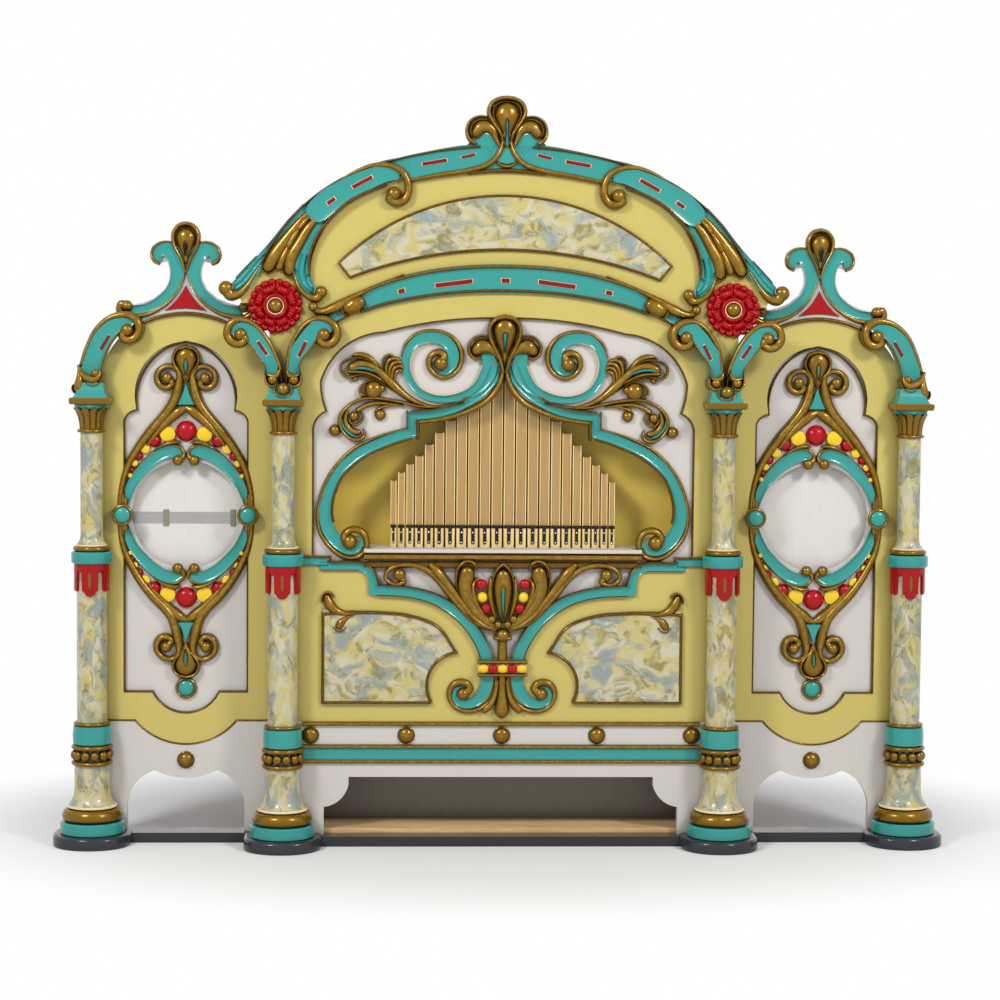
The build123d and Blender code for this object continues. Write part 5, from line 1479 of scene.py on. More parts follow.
class ORGAN_OT_gems(bpy.types.Operator):
    """Gloss gems over and under the drum openings, in the clasp and in the palmette"""
    bl_idname = "organ.gems"
    bl_label = "Gems"

    def execute(self, context):
        made = Carving(0.0)
        rows = {}
        for low, high in solids_of("gems"):
            x, z, radius = (low[0] + high[0]) / 2, (low[2] + high[2]) / 2, (high[0] - low[0]) / 2
            side = round(x / WING_AXIS) if abs(x) > WING_AXIS / 2 else 0
            key = (side, z > DRUM_Z) if side else "clasp"
            rows.setdefault(key, []).append((x, z, radius, high[1]))
        for key, row in rows.items():
            row.sort(key=lambda gem: gem[0])
            middle = len(row) // 2
            for i, (x, z, radius, face) in enumerate(row):
                one = Carving(face)
                full = radius * 1.05 + 1
                if key == "clasp":
                    one.dome(x, z, radius * 1.36, 11, "gem_yellow" if i % 2 == middle % 2
                        else "gem_red", oval=0.78)
                elif (i - middle) % 2:
                    one.turned(x, z, [(full, -0.4), (full, 5), (full * 0.9, 11), (full * 0.62, 13),
                        (0.4, 14)], "gem_yellow", steps=12)
                else:
                    one.dome(x, z, full, full * 0.5 + 7, "gem_red")
                made.take(one)
        vase = Carving(CENTRE_FACE)
        for x, z, radius, name in ((64, 778, 17, "gem_red"), (61, 740, 15.5, "gem_yellow"),
                                   (50, 706, 15.5, "gem_red")):
            vase.ball(x, z, radius, name, base=8, squash=0.8)
        vase.both_sides()
        made.take(vase)
        made.build("gems_set", "gem_gloss", "gems", sharp=24)
        return {"FINISHED"}


class ORGAN_OT_buttons(bpy.types.Operator):
    """Turquoise buttons in gilt rims beside and below the drum openings"""
    bl_idname = "organ.buttons"
    bl_label = "Buttons"

    def execute(self, context):
        made = Carving(0.0)
        for low, high in solids_of("buttons"):
            x, z, radius = disc_of(low, high)
            one = Carving(high[1])
            one.turned(x, z, [(radius - 2, -0.4), (radius, 3), (radius, 7), (radius - 2, 10),
                (radius - 5, 11), (radius - 8, 9), (radius - 9, 7)], "gold")
            one.dome(x, z, radius - 8, 11, "turquoise", base=6)
            made.take(one)
        made.build("buttons_turned", "turquoise_paint", "buttons")
        return {"FINISHED"}


class ORGAN_OT_knobs(bpy.types.Operator):
    """Gilt knobs on the belt and the wing aprons"""
    bl_idname = "organ.knobs"
    bl_label = "Knobs"

    def execute(self, context):
        made = Carving(0.0)
        for low, high in solids_of("knobs"):
            x, z, radius = disc_of(low, high)
            one = Carving(high[1])
            one.turned(x, z, [(radius, -0.4), (radius, 2), (radius - 3, 4), (radius - 5, 4)], "line")
            one.dome(x, z, radius - 3, radius * 0.62, base=2)
            made.take(one)
        made.build("knobs_turned", "gold_paint", "knobs")
        return {"FINISHED"}


class ORGAN_OT_field_lines(bpy.types.Operator):
    """Gilt lines round the white fields and along the edges of the boards"""
    bl_idname = "organ.field_lines"
    bl_label = "Field lines"

    def execute(self, context):
        width = carving_settings().line
        made = Carving(WING_FIELD_FACE)
        tall = BOARD_STEP + 2.5
        half, cusp_x, cusp_z, shoulder_z = 182, 144, 1284, 1252
        foot, lobe, lobe_drop, top = 447, 98, 63, 1487
        head = arc((cusp_x, cusp_z), (0, top), -50, 16)
        shoulder = arc((half, shoulder_z), (cusp_x, cusp_z), -8, 6)
        made.ridge(None, tall, runs=[wide([(lobe, foot), (half, foot)], width),
            wide([(half, foot), (half, shoulder_z)], width), wide(shoulder, width), wide(head, width)],
            blunt=SQUARE_ENDS, finish="line")
        made.copies((0, 0), (1, -1))
        made.ridge(wide(arc((-lobe, foot), (lobe, foot), -lobe_drop, 18), width), tall, finish="line")
        made.copies((-WING_AXIS, WING_AXIS))
        edge = Carving(WING_FIELD_FACE)
        low, high = node_box("wing_board_right")
        left, right, bottom = low.x + 2, high.x - 2, node_box("wing_board_right")[0].z
        reach = 150
        foot_z = 362
        edge.ridge(None, tall + 1, runs=[wide([(left, foot_z), (WING_AXIS - reach, foot_z)], width + 1),
            wide(arc((WING_AXIS - reach, foot_z), (WING_AXIS + reach, foot_z), -(foot_z - bottom), 20),
            width + 1), wide([(WING_AXIS + reach, foot_z), (right, foot_z)], width + 1)],
            blunt=SQUARE_ENDS, finish="line")
        edge.both_sides()
        made.take(edge)
        made.build("wing_field_lines", "gold_paint")

        centre = Carving(CENTRE_FIELD_FACE)
        line = [arc((0, 1563), (355, 1519), 13, 14), arc((355, 1519), (540, 1372), 38, 16),
            arc((540, 1372), (524, 1286), 4, 6), arc((524, 1286), (562, 1236), 8, 6),
            [(562, 1236), (562, 866)]]
        centre.ridge(None, tall, runs=[wide(run, width) for run in line], blunt=SQUARE_FIRST,
            finish="line")
        centre.both_sides()
        centre.build("centre_field_lines", "gold_paint")
        return {"FINISHED"}


# Middle

class ORGAN_OT_opening_crest(bpy.types.Operator):
    """Gilt bulb and side leaves over the pipe opening"""
    bl_idname = "organ.opening_crest"
    bl_label = "Opening crest"

    def execute(self, context):
        made = Carving(CENTRE_FIELD_FACE)
        up = BOARD_STEP
        made.ridge([(5, 1408, 9), (12, 1438, 19), (26, 1462, 30), (48, 1477, 40), (70, 1478, 46),
            (82, 1469, 38)], up + 15)
        made.ridge([(28, 1492, 5), (48, 1507, 8), (72, 1511, 9), (94, 1501, 10), (106, 1479, 11),
            (102, 1456, 12), (86, 1443, 12), (72, 1446, 9)], up + 14)
        made.ridge([(4, 1404, 12), (16, 1446, 14), (34, 1482, 15), (45, 1514, 15), (43, 1541, 15),
            (25, 1560, 16), (0, 1566, 17)], up + 21, blunt=SQUARE_LAST)
        made.both_sides()
        made.bulb([(0, 1526, 76), (0, 1500, 62), (0, 1472, 40), (0, 1446, 22), (0, 1420, 8)],
            [(0, 1515, 12), (0, 1490, 8), (0, 1462, 4)], up + 17, 0)
        made.build("opening_crest_carved", "gold_paint", "opening_crest")
        return {"FINISHED"}


class ORGAN_OT_opening_scrolls(bpy.types.Operator):
    """Turquoise scrolled frame round the pipe opening"""
    bl_idname = "organ.opening_scrolls"
    bl_label = "Opening scrolls"

    def execute(self, context):
        made = Carving(CENTRE_FIELD_FACE)
        up = BOARD_STEP
        # Upper scroll, bare on its inner side but for a fine pale line
        loop = [(50, 1452, 36), (44, 1424, 44), (55, 1394, 44), (76, 1365, 36), (104, 1346, 28),
            (140, 1333, 23), (179, 1328, 20), (218, 1333, 21), (252, 1350, 22), (275, 1377, 23),
            (288, 1409, 24), (290, 1442, 25), (278, 1476, 27), (256, 1499, 30), (222, 1510, 32),
            (188, 1504, 33), (162, 1484, 33), (151, 1454, 32), (158, 1424, 27), (175, 1406, 18),
            (194, 1404, 11), (207, 1414, 8), (210, 1429, 6), (202, 1441, 5)]
        loop = [(x, z - 4, w) for x, z, w in loop]
        made.stroke(loop, band_section, up + 4)
        made.edging(loop, 2.5, 1, up + 3, span=(0.04, 0.7), finish="cream")
        made.scroll([(303, 1450, 6), (291, 1486, 9), (263, 1513, 10), (222, 1524, 11), (185, 1520, 12),
            (154, 1505, 13), (134, 1480, 14), (126, 1451, 15), (130, 1423, 15), (145, 1401, 15),
            (166, 1389, 15), (186, 1388, 16), (207, 1398, 17), (221, 1416, 18), (222, 1439, 19),
            (211, 1456, 20), (192, 1461, 22), (178, 1451, 24)], (187, 1428, 42), up + 12)
        # Frame of the opening with its step and its lower scroll
        upper = [(30, 1412, 26), (36, 1386, 32), (52, 1361, 28), (72, 1340, 25), (98, 1321, 24),
            (132, 1302, 23), (170, 1288, 23), (211, 1279, 23), (271, 1273, 24)]
        lower = [(271, 1225, 28), (317, 1212, 28), (361, 1195, 28), (410, 1172, 28), (454, 1141, 29),
            (491, 1103, 30), (514, 1053, 31), (525, 1005, 33), (523, 961, 36), (509, 928, 39),
            (490, 903, 38), (472, 886, 32), (452, 877, 26), (434, 879, 20), (422, 891, 14),
            (418, 905, 10), (427, 914, 6), (437, 916, 4)]
        made.stroke(None, band_section, up + 4, runs=[upper, [upper[-1], lower[0]], lower])
        made.ridge([(5, 1420, 10), (9, 1388, 17), (27, 1348, 20), (58, 1315, 19), (98, 1293, 17),
            (145, 1275, 15), (200, 1262, 14), (256, 1255, 13)], up + 13)
        made.ridge([(254, 1257, 12), (254, 1208, 12)], up + 12, finish="line")
        made.edging(upper, 6, 1, up + 9, span=(0.42, 1.0))
        made.ridge([(286, 1287, 6), (286, 1238, 6)], up + 9)
        made.edging(lower, 9, -1, up + 8, span=(0.02, 0.7), finish="line")
        made.scroll([(287, 1236, 7), (340, 1222, 8), (397, 1201, 9), (450, 1170, 10), (502, 1114, 11),
            (534, 1050, 12), (547, 985, 13), (540, 930, 14), (514, 889, 15), (480, 862, 15),
            (451, 853, 16), (426, 858, 17), (409, 873, 18), (402, 896, 19), (407, 918, 20),
            (423, 934, 21), (442, 938, 22), (460, 930, 23), (470, 914, 24)], (453, 901, 46), up + 12)
        made.both_sides()
        made.build("opening_scrolls_carved", "turquoise_paint", "opening_scrolls")
        return {"FINISHED"}


class ORGAN_OT_foliage(bpy.types.Operator):
    """Gilt leaf sprays on both sides of the opening's scrolls"""
    bl_idname = "organ.foliage"
    bl_label = "Foliage"

    def execute(self, context):
        made = Carving(CENTRE_FIELD_FACE)
        rise = 18
        # Plume with its rim, slit and small curl
        made.ridge([(100, 1333, 6), (122, 1320, 9), (158, 1306, 11), (210, 1300, 13), (247, 1310, 15),
            (268, 1319, 17), (296, 1337, 22), (324, 1361, 30), (352, 1388, 27), (377, 1410, 25),
            (399, 1421, 26), (427, 1424, 28), (446, 1415, 32)], rise + 6)
        made.ridge([(350, 1370, 8), (380, 1389, 12), (407, 1399, 14), (433, 1402, 15), (455, 1402, 16)],
            rise)
        made.ridge([(360, 1402, 4), (376, 1419, 5), (399, 1435, 6), (429, 1443, 7), (455, 1440, 8),
            (474, 1430, 9), (482, 1413, 10), (477, 1396, 10), (463, 1387, 10), (446, 1388, 8),
            (427, 1393, 6), (407, 1391, 5), (382, 1383, 5), (356, 1366, 5), (331, 1349, 4)], rise + 6)
        made.ridge([(384, 1384, 4), (407, 1387, 7), (427, 1385, 9)], rise - 2)
        made.ball(441, 1381, 9, base=4)
        made.stroke([(361, 1395, 2), (378, 1403, 4), (402, 1411, 6), (428, 1413, 7), (440, 1411, 4)],
            flat_section, 4, rise + 2, finish="slit")
        made.ridge([(360, 1404, 5), (381, 1428, 14), (398, 1443, 18), (418, 1451, 18), (437, 1452, 13),
            (447, 1449, 7)], rise)
        # Shell of folded lobes
        for lobe in ([(358, 1398, 5), (359, 1424, 7), (356, 1441, 8), (345, 1451, 9),
                      (331, 1450, 9), (325, 1444, 7)],
                     [(346, 1388, 9), (348, 1415, 13), (343, 1432, 15), (331, 1441, 15),
                      (316, 1441, 13), (308, 1435, 9)],
                     [(337, 1376, 10), (339, 1405, 14), (333, 1421, 16), (322, 1430, 16),
                      (308, 1431, 13), (302, 1425, 9)],
                     [(331, 1368, 10), (331, 1394, 14), (327, 1409, 15), (317, 1418, 15),
                      (305, 1419, 12), (300, 1413, 9)],
                     [(322, 1360, 9), (323, 1388, 11), (318, 1402, 13), (309, 1408, 12),
                      (301, 1405, 8)]):
            made.ridge(lobe, rise)
        # Fruit in its cup
        made.ball(385, 1349, 27, base=2, squash=0.75)
        made.ball(363, 1353, 13, base=4)
        made.ridge([(362, 1370, 4), (381, 1378, 6), (400, 1375, 8), (417, 1364, 9), (425, 1349, 9),
            (421, 1336, 9), (407, 1331, 7)], rise)
        # Lower branch, hollow between its rim and its inner curl
        rim = [(120, 1312, 6), (190, 1301, 9), (247, 1301, 10), (290, 1311, 11), (343, 1321, 12),
            (395, 1325, 11), (427, 1319, 11), (455, 1304, 12), (474, 1285, 13), (483, 1265, 14),
            (482, 1244, 14), (472, 1224, 13), (456, 1209, 13), (437, 1202, 14), (419, 1206, 13),
            (410, 1218, 11), (413, 1232, 8)]
        made.ridge(rim, rise + 4)
        made.ridge([(300, 1304, 8), (343, 1309, 12), (380, 1310, 15), (407, 1303, 16), (429, 1290, 18)],
            rise)
        made.ridge([(464, 1282, 14), (467, 1259, 20), (460, 1238, 24), (446, 1226, 24),
            (430, 1224, 18)], rise - 2)
        made.ball(442, 1271, 15, base=4)
        made.ridge([(458, 1268, 6), (450, 1251, 9), (435, 1247, 9), (421, 1255, 9), (415, 1270, 9),
            (421, 1286, 6)], rise + 1)
        made.stroke([(478, 1262, 3), (474, 1244, 6), (463, 1228, 7), (447, 1216, 7), (438, 1214, 4)],
            flat_section, 4, rise - 2, finish="slit")
        made.ball(498, 1229, 18, base=0)
        made.ridge([(324, 1306, 10), (350, 1301, 10), (370, 1294, 9), (381, 1284, 6)], rise - 3)
        made.ball(365, 1276, 17, base=0)
        made.both_sides()
        made.build("foliage_carved", "gold_paint", "foliage")
        return {"FINISHED"}


class ORGAN_OT_palmette(bpy.types.Operator):
    """Clasp, palmette over it and pendant under it"""
    bl_idname = "organ.palmette"
    bl_label = "Palmette"

    def execute(self, context):
        made = Carving(CENTRE_FACE)
        made.scroll([(20, 640, 12), (76, 662, 17), (120, 704, 22), (160, 754, 25), (196, 797, 23),
            (228, 821, 20), (257, 832, 18), (291, 835, 16), (323, 828, 15), (342, 813, 14),
            (346, 795, 14), (333, 781, 15), (311, 776, 16), (293, 785, 18)], (306, 805, 38), 18)
        made.ridge([(12, 646, 12), (50, 654, 17), (86, 680, 19), (120, 721, 22), (160, 772, 27),
            (191, 811, 32), (212, 834, 20)], 22)
        made.ridge([(16, 650, 16), (42, 664, 29), (74, 694, 40), (99, 731, 46), (111, 772, 50),
            (107, 808, 50)], 24)
        made.ridge([(133, 750, 4), (139, 788, 8), (136, 820, 11), (121, 841, 12), (102, 847, 12),
            (84, 839, 11), (77, 822, 6)], 25)
        made.ridge([(56, 690, 5), (92, 740, 9), (102, 790, 7)], 6, 19)
        made.ridge([(40, 666, 8), (66, 699, 16), (84, 738, 19), (89, 772, 17), (79, 796, 7)], 25)
        made.ridge([(20, 676, 8), (32, 715, 16), (38, 754, 18), (37, 786, 14), (36, 800, 5)], 20)
        made.ball(32, 674, 13, base=8)
        made.ball(14, 659, 12, base=14)
        made.ridge([(31, 764, 4), (29, 798, 8), (17, 824, 11), (0, 840, 13)], 26, blunt=SQUARE_LAST)
        # Curls beside the pendant
        made.ridge([(13, 490, 8), (22, 447, 18), (36, 419, 24), (50, 406, 24)], 20)
        made.both_sides()
        made.bulb([(0, 799, 50), (0, 772, 57), (0, 740, 52), (0, 705, 38), (0, 670, 16)], [(0, 772, 8),
            (0, 740, 10), (0, 705, 7), (0, 672, 3)], 26)
        made.ridge([(0, 636, 26), (0, 554, 31)], 20)
        made.ridge([(-20, 620, 17), (20, 620, 17)], 30)
        made.ball(0, 627, 19, base=14, squash=0.8)
        made.ridge([(0, 508, 24), (0, 466, 25), (0, 426, 38), (0, 403, 46)], 24)
        half = 69
        for z in (549, 511):
            made.ridge([(-half, z, 12), (half, z, 12)], 9, 18)
        made.plate([(-half - 4, 509), (half + 4, 509), (half + 4, 551), (-half - 4, 551)], 19, "white")
        made.build("palmette_carved", "gold_paint", "palmette")
        return {"FINISHED"}


class ORGAN_OT_ribbon(bpy.types.Operator):
    """Turquoise ribbon from the inner columns to the clasp, and its scrolls below"""
    bl_idname = "organ.ribbon"
    bl_label = "Ribbon"

    def execute(self, context):
        made = Carving(CENTRE_FACE)
        upper = [(600, 845, 22), (518, 845, 22)]
        made.stroke(upper, band_section, 12, blunt=SQUARE_ENDS)
        made.ridge(None, 13, finish="line", blunt=SQUARE_FIRST, runs=[[(600, 857, 8), (509, 857, 8)],
            [(509, 857, 8), (509, 842, 8)]])
        made.edging(upper, 3, 1, 9, finish="line")
        corner = [(426, 830, 22), (404, 821, 23), (389, 802, 25), (382, 778, 27), (382, 759, 27)]
        fall = [(382, 759, 27), (340, 758, 27), (300, 756, 27), (258, 750, 27), (205, 735, 27),
            (156, 708, 28), (113, 672, 29), (77, 626, 31), (54, 582, 32), (45, 540, 34), (44, 503, 35),
            (49, 472, 34), (64, 444, 32), (84, 427, 28), (109, 421, 24), (131, 428, 19), (142, 447, 13),
            (137, 465, 9), (124, 473, 6), (113, 468, 4)]
        made.stroke(None, band_section, 13, runs=[[(539, 830, 22), (426, 830, 22)], corner, fall],
            blunt=SQUARE_FIRST)
        made.ridge([(509, 842, 8), (426, 842, 8), (398, 832, 8), (377, 810, 8), (367, 775, 8)], 16,
            finish="line")
        made.edging([(539, 830, 22), (426, 830, 22)], 3, 1, 10, finish="line")
        made.edging(fall, 6, -1, 16, span=(0.05, 0.56), finish="line")
        made.edging(fall, 4, 1, 14, span=(0.02, 0.68), finish="line")
        made.scroll([(17, 514, 9), (20, 470, 12), (34, 434, 14), (57, 412, 15), (87, 401, 15),
            (116, 402, 15), (139, 413, 15), (153, 434, 16), (156, 458, 17), (146, 478, 19),
            (127, 487, 21), (106, 483, 22), (95, 468, 22)], (116, 451, 38), 18)
        made.both_sides()
        made.build("ribbon_carved", "turquoise_paint", "ribbon")
        return {"FINISHED"}


class ORGAN_OT_marble_edges(bpy.types.Operator):
    """Gilt moulding and corner horns of the marbled panels"""
    bl_idname = "organ.marble_edges"
    bl_label = "Marble panel edges"

    def execute(self, context):
        made = Carving(CENTRE_FACE)
        width = 10
        outer = node_box("marble_panels")[1].x
        top = 688
        runs = [[(210, 426), (outer, 426)], [(outer, 426), (outer, top)], [(outer, top), (448, 694)],
            [(448, 694), (360, 692), (274, 683), (191, 650), (138, 576)],
            arc((138, 576), (210, 426), 44, 14)]
        made.plate([(448, 692), (outer, 648), (outer, top)], 2, "marble", edge=0.5)
        made.ridge(None, 14, runs=[wide(run, width) for run in runs], blunt=SQUARE_ENDS, finish="line")
        made.ridge([(400, 692, 9), (446, 690, 12), (478, 693, 20), (501, 705, 30), (513, 722, 32),
            (518, 736, 24)], 20)
        made.ridge([(497, 742, 4), (506, 750, 6), (520, 752, 7), (532, 742, 7), (535, 724, 5)], 19)
        made.ridge([(440, 684, 8), (462, 676, 16), (476, 664, 26), (482, 655, 27)], 17)
        made.ridge([(462, 650, 4), (472, 639, 6), (488, 637, 6), (499, 648, 5)], 16)
        made.both_sides()
        made.build("marble_panel_edges", "gold_paint")
        return {"FINISHED"}


class ORGAN_OT_belt(bpy.types.Operator):
    """Gilt and turquoise mouldings along the belt and the ledge of the niche"""
    bl_idname = "organ.belt"
    bl_label = "Belt and ledge"

    def execute(self, context):
        low, high = node_box("belt_mouldings")
        half = high.x
        made = Carving(CENTRE_FACE)
        for z, width, depth in ((high.z - 6, 13, 11), (low.z + 50, 13, 11), (low.z + 6, 13, 11)):
            made.ridge([(-half, z, width), (half, z, width)], depth, blunt=SQUARE_ENDS)
        middle = (high.z - 6 - 69 + low.z + 6) / 2 + 1
        made.stroke([(-half, middle, 34), (half, middle, 34)], hollow_section, 9, rim=2,
            blunt=SQUARE_ENDS, finish="turquoise")
        made.build("belt_mouldings_run", "turquoise_paint", "belt_mouldings")
        low, high = node_box("ledge_moulding")
        ledge = Carving(CENTRE_FACE)
        half = high.x
        for z, width, depth, name in ((high.z + 4, 6, 12, "line"), (high.z - 8, 20, 15, "gold"),
                                      (low.z - 8, 20, 6, "line")):
            ledge.ridge([(-half, z, width), (half, z, width)], depth, wall=1, blunt=SQUARE_ENDS,
                finish=name)
        ledge.plate([(-half, high.z + 5), (half, high.z + 5), (half, high.z + 16),
            (-half, high.z + 16)], 15, "white")
        ledge.build("ledge_moulding_run", "gold_paint", "ledge_moulding")
        return {"FINISHED"}


# Pipes and drums

def box_shell(carving, low, high, finish_name, ease=0.8):
    """Board with eased edges between two corners, as (x, y, z)."""
    half = (high[0] - low[0]) / 2
    x = (high[0] + low[0]) / 2
    front = carving.board - low[1]
    back = carving.board - high[1]
    rings = []
    for shrink, z in ((ease, low[2]), (0, low[2] + ease), (0, high[2] - ease),
                      (ease, high[2])):
        w = half - shrink
        rings.append([(x - w, z, back), (x - w, z, front - ease), (x - w + ease, z, front),
            (x + w - ease, z, front), (x + w, z, front - ease), (x + w, z, back)])
    carving.shell(rings, [[0.5] * 6] * 4, [finish_name], [finish_name, finish_name])


class ORGAN_OT_pipes(bpy.types.Operator):
    """Square wooden pipes with their mouths, straps and screws"""
    bl_idname = "organ.pipes"
    bl_label = "Pipes"

    def execute(self, context):
        made = Carving(0.0)
        mouths = Carving(0.0)
        side, mouth_z, joint = 3.4, 66, 0.7
        middle_rise, rise_from = 74, 0.62
        boxes = solids_of("pipes")
        tallest = max(high[2] - low[2] for low, high in boxes)
        for low, high in boxes:
            foot = low[2]
            # The tallest pipes run on up behind the frame in the middle of the row
            share = (high[2] - foot) / tallest
            longer = middle_rise * max(0.0, (share - rise_from) / (1 - rise_from))
            high = high + np.array((-joint, 0, longer))
            low = low + np.array((joint, 0, 0))
            x = (low[0] + high[0]) / 2
            wide_x = high[0] - low[0]
            box_shell(made, low + np.array((side, 1.2, 0)), high - np.array((side, 0, 2)), "pipe")
            for left in (low[0], high[0] - side):
                box_shell(made, np.array((left, low[1], foot)),
                    np.array((left + side, high[1], high[2])), "pipe_edge", 0.4)
            box_shell(mouths, np.array((low[0] + 0.6, low[1] - 3.5, foot)), np.array((high[0] - 0.6,
                low[1] + 2, foot + mouth_z - 9)), "pipe_edge")
            box_shell(mouths, np.array((low[0] + 0.2, low[1] - 5, foot + mouth_z - 9)),
                np.array((high[0] - 0.2, low[1] + 2, foot + mouth_z)), "black", 1.5)
            strap = min(10.0, wide_x * 0.36)
            front = Carving(low[1] - 3.5)
            front.stroke([(x, foot + 14, strap), (x, foot + mouth_z - 6, strap)], flat_section, 3,
                finish="black")
            for z in (foot + 15, foot + mouth_z - 22):
                front.dome(x, z, 2.6, 1.6, "chrome", base=3)
            mouths.take(front)
        made.build("pipes_wooden", "pipe_wood", "pipes")
        mouths.build("pipe_mouth_boards", "pipe_wood", "pipe_mouths")
        return {"FINISHED"}


class ORGAN_OT_drums(bpy.types.Operator):
    """Hoops, the snare's wires and their clamp plates behind the wing openings"""
    bl_idname = "organ.drums"
    bl_label = "Drums"

    def execute(self, context):
        made = Carving(0.0)
        for low, high in solids_of("drum_hoops"):
            x, z, radius = disc_of(low, high)
            deep = high[1] - low[1]
            one = Carving(high[1])
            rings = []
            steps = 72
            for r, h in ((radius - 7, 0.5), (radius, 0), (radius, deep - 3), (radius - 2, deep),
                         (radius - 5, deep), (radius - 7, deep - 3), (radius - 7, 0.5)):
                rings.append([(x + r * cos(2 * pi * i / steps), z + r * sin(2 * pi * i / steps), h)
                    for i in range(steps)])
            start = len(one.points)
            for ring in rings[:-1]:
                one.points += [(px, one.board - h, pz) for px, pz, h in ring]
                one.crests += [0.5] * steps
            count = len(rings) - 1
            for i in range(count):
                for j in range(steps):
                    k = (j + 1) % steps
                    a, b = start + i * steps, start + (i + 1) % count * steps
                    one.faces.append((a + j, a + k, b + k, b + j))
                    one.finishes.append("chrome")
            made.take(one)
        made.build("drum_hoops_turned", "drum_hoop", "drum_hoops")
        heads = solids_of("drum_heads")
        face = min(low[1] for low, high in heads if low[0] < 0)
        wires = Carving(face)
        wire_count, wire_step, wire_drop = 10, 3.6, 28
        for i in range(wire_count):
            z = DRUM_Z - wire_drop + i * wire_step
            wires.ridge([(-WING_AXIS - 172, z, 2.2), (-WING_AXIS + 172, z, 2.2)], 1.8, finish="chrome")
        for x in (-WING_AXIS - 70, -WING_AXIS + 128):
            wires.plate([(x, DRUM_Z - 36), (x + 16, DRUM_Z - 36), (x + 16, DRUM_Z + 12),
                (x, DRUM_Z + 12)], 4, "board_grey")
        wires.build("snare_wires", "drum_hoop", "snare_strip")
        return {"FINISHED"}


class ORGAN_OT_board_finishes(bpy.types.Operator):
    """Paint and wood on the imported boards, panels and case"""
    bl_idname = "organ.board_finishes"
    bl_label = "Boards and case"

    def execute(self, context):
        finishes = {
            "white": ("wing_panel_left", "wing_panel_right", "centre_panel", "wing_aprons",
                      "centre_apron", "belt_board", "pipe_ledge"),
            "yellow": ("wing_board_left", "wing_board_right", "centre_board", "pediment_board"),
            "marble": ("name_panel", "marble_panels"),
            "grey": ("plinth_rails",),
            "case": ("case_sides", "case_back", "case_top", "drum_shelves"),
            "board_grey": ("compartment_back",),
            "floor_wood": ("case_floor",),
            "niche": ("niche_back",),
            "drum_shell": ("snare_drum", "bass_drum"),
            "drum_head": ("drum_heads",),
        }
        for name, members in finishes.items():
            for member in members:
                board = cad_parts[member]
                if not board.material_slots:
                    raise RuntimeError(f"{member} has no material slot to paint")
                for slot in board.material_slots:
                    slot.material = finish(name)
        return {"FINISHED"}


def seen_directly(tree):
    """1 for the camera and for mirror reflections, 0 for soft light."""
    seen = node(tree, "ShaderNodeLightPath")
    direct = arithmetic(tree, "MAXIMUM", seen.outputs["Is Camera Ray"], seen.outputs["Is Glossy Ray"])
    return arithmetic(tree, "MAXIMUM", direct, seen.outputs["Is Transmission Ray"])


def floor_material(colour):
    """Pale floor that takes the shadow near the object and fades to white further out."""
    material = bpy.data.materials.new("studio_floor")
    material.use_nodes = True
    tree = material.node_tree
    tree.nodes.clear()
    grain = noise(tree, stretched(tree, (2.0, 2.0, 2.0)), 3.0)
    rough = remap(tree, grain, 0.2, 0.8, 0.75, 0.9)
    near = node(tree, "ShaderNodeBsdfPrincipled", {"Base Color": solid(colour), "Roughness": rough})
    white = node(tree, "ShaderNodeEmission", {"Color": WHITE, "Strength": 1.0})
    spots = node(tree, "ShaderNodeTexCoord").outputs["Object"]
    spots = node(tree, "ShaderNodeMapping", {"Vector": spots, "Scale": (0.72, 1.0, 1.0)}).outputs[0]
    away = node(tree, "ShaderNodeVectorMath", {0: spots}, operation="LENGTH").outputs["Value"]
    share = remap(tree, away, 0.75, 1.45)
    share = times(tree, share, seen_directly(tree))
    mixed = node(tree, "ShaderNodeMixShader", {0: share, 1: near.outputs[0], 2: white.outputs[0]})
    node(tree, "ShaderNodeOutputMaterial", {"Surface": mixed.outputs[0]})
    return material


WHITE = (1.0, 1.0, 1.0, 1.0)


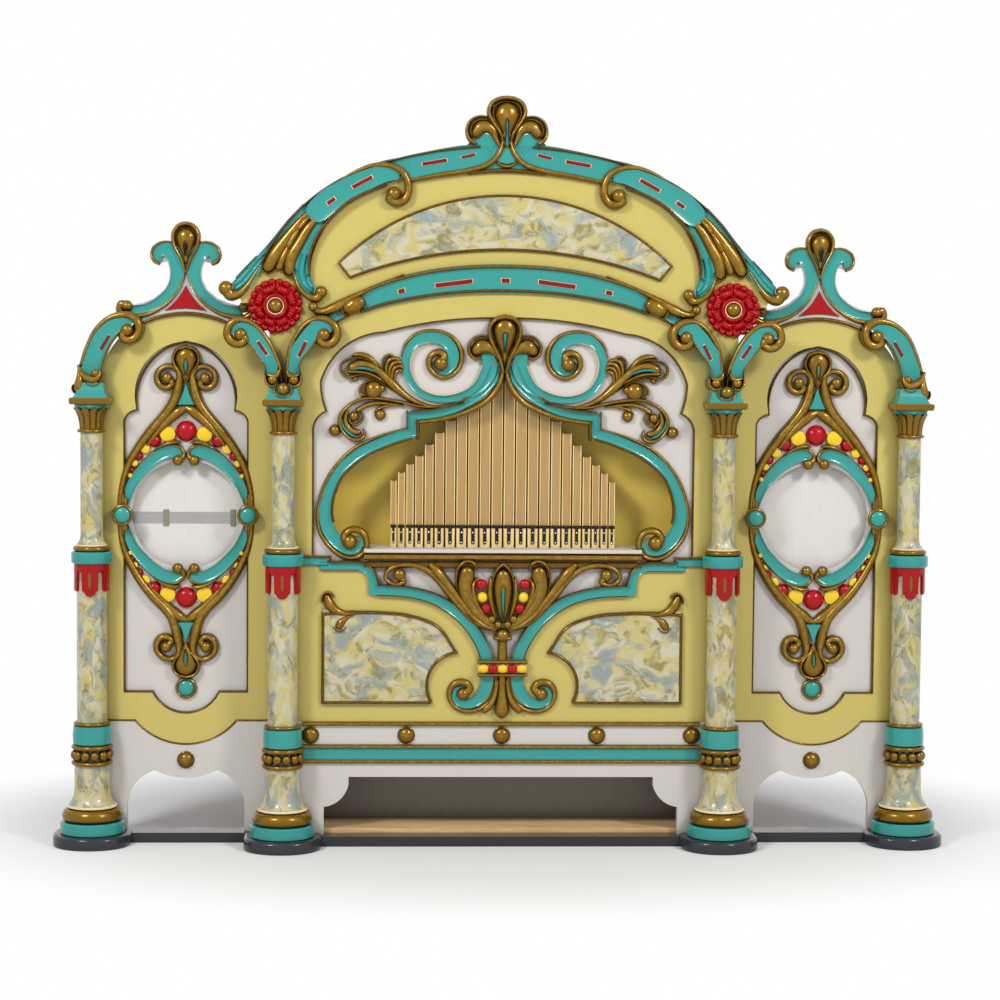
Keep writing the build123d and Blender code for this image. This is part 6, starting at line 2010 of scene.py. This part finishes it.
class ORGAN_OT_stage(bpy.types.Operator):
    """Floor, lamps, sky and camera"""
    bl_idname = "organ.stage"
    bl_label = "Stage"

    def execute(self, context):
        settings = stage_settings()
        mesh = bpy.data.meshes.new("studio_floor")
        reach = 14.0
        mesh.from_pydata([(-reach, -reach, 0), (reach, -reach, 0), (reach, reach, 0),
            (-reach, reach, 0)], [], [(0, 1, 2, 3)])
        floor = bpy.data.objects.new("studio_floor", mesh)
        bpy.context.scene.collection.objects.link(floor)
        mesh.materials.append(floor_material(settings.floor))

        world = bpy.data.worlds.new("studio_sky")
        bpy.context.scene.world = world
        world.use_nodes = True
        tree = world.node_tree
        tree.nodes.clear()
        soft = node(tree, "ShaderNodeBackground", {"Color": WHITE, "Strength": settings.sky})
        white = node(tree, "ShaderNodeBackground", {"Color": WHITE, "Strength": 1.0})
        mixed = node(tree, "ShaderNodeMixShader", {0: seen_directly(tree), 1: soft.outputs[0],
            2: white.outputs[0]})
        node(tree, "ShaderNodeOutputWorld", {"Surface": mixed.outputs[0]})

        aim = Vector((0.0, CENTRE_FACE * MM, 1.1))
        lamp_size = 1.0
        for name, place, power in (("left_lamp", (-3.0, -3.9, 4.1), settings.left_power),
                                   ("right_lamp", (3.0, -3.9, 4.0), settings.right_power)):
            data = bpy.data.lights.new(name, "AREA")
            data.shape = "SQUARE"
            data.size = lamp_size
            data.energy = power
            lamp = bpy.data.objects.new(name, data)
            bpy.context.scene.collection.objects.link(lamp)
            lamp.location = place
            lamp.rotation_euler = (aim - Vector(place)).to_track_quat("-Z", "Y").to_euler()

        yaw, pitch, roll = settings.yaw, settings.pitch, settings.roll
        ahead = Vector((sin(yaw) * cos(pitch), cos(yaw) * cos(pitch), sin(pitch)))
        right = Vector((cos(yaw), -sin(yaw), 0))
        up = right.cross(ahead)
        across = right * cos(roll) + up * sin(roll)
        rise = up * cos(roll) - right * sin(roll)
        data = bpy.data.cameras.new("camera")
        data.sensor_width = 36.0
        data.lens = settings.lens
        camera = bpy.data.objects.new("camera", data)
        bpy.context.scene.collection.objects.link(camera)
        turn = Matrix((across, rise, -ahead)).transposed().to_4x4()
        camera.matrix_world = Matrix.Translation(settings.place) @ turn
        bpy.context.scene.camera = camera
        bpy.context.scene.view_settings.view_transform = "Standard"
        return {"FINISHED"}


PIECES = (ORGAN_OT_stage, ORGAN_OT_board_finishes, ORGAN_OT_column_bases, ORGAN_OT_column_stems,
    ORGAN_OT_column_drops, ORGAN_OT_column_capitals, ORGAN_OT_consoles, ORGAN_OT_top_arch,
    ORGAN_OT_crest_finial, ORGAN_OT_lower_arch, ORGAN_OT_name_field, ORGAN_OT_rosettes,
    ORGAN_OT_wing_crests, ORGAN_OT_drum_frames, ORGAN_OT_gems, ORGAN_OT_buttons, ORGAN_OT_knobs,
    ORGAN_OT_field_lines, ORGAN_OT_opening_crest, ORGAN_OT_opening_scrolls, ORGAN_OT_foliage,
    ORGAN_OT_palmette, ORGAN_OT_ribbon, ORGAN_OT_marble_edges, ORGAN_OT_belt, ORGAN_OT_pipes,
    ORGAN_OT_drums,)


class ORGAN_PT_pieces(bpy.types.Panel):
    """Lists the pieces of the organ front and their settings"""
    bl_label = "Organ front"
    bl_space_type = "VIEW_3D"
    bl_region_type = "UI"
    bl_category = "Organ"

    def draw(self, context):
        for settings in (context.scene.organ_carving, context.scene.organ_paint,
                         context.scene.organ_stage):
            box = self.layout.box()
            for key in settings.__annotations__:
                box.prop(settings, key)
        for piece in PIECES:
            self.layout.operator(piece.bl_idname)


CLASSES = [CarvingSettings, PaintSettings, StageSettings, *PIECES, ORGAN_PT_pieces]


def register():
    for cls in CLASSES:
        bpy.utils.register_class(cls)
    bpy.types.Scene.organ_carving = PointerProperty(type=CarvingSettings)
    bpy.types.Scene.organ_paint = PointerProperty(type=PaintSettings)
    bpy.types.Scene.organ_stage = PointerProperty(type=StageSettings)


def unregister():
    del bpy.types.Scene.organ_stage
    del bpy.types.Scene.organ_paint
    del bpy.types.Scene.organ_carving
    for cls in reversed(CLASSES):
        bpy.utils.unregister_class(cls)


def main():
    register()
    for piece in PIECES:
        getattr(bpy.ops.organ, piece.bl_idname.partition(".")[2])()


if __name__ == "__main__":
    main()
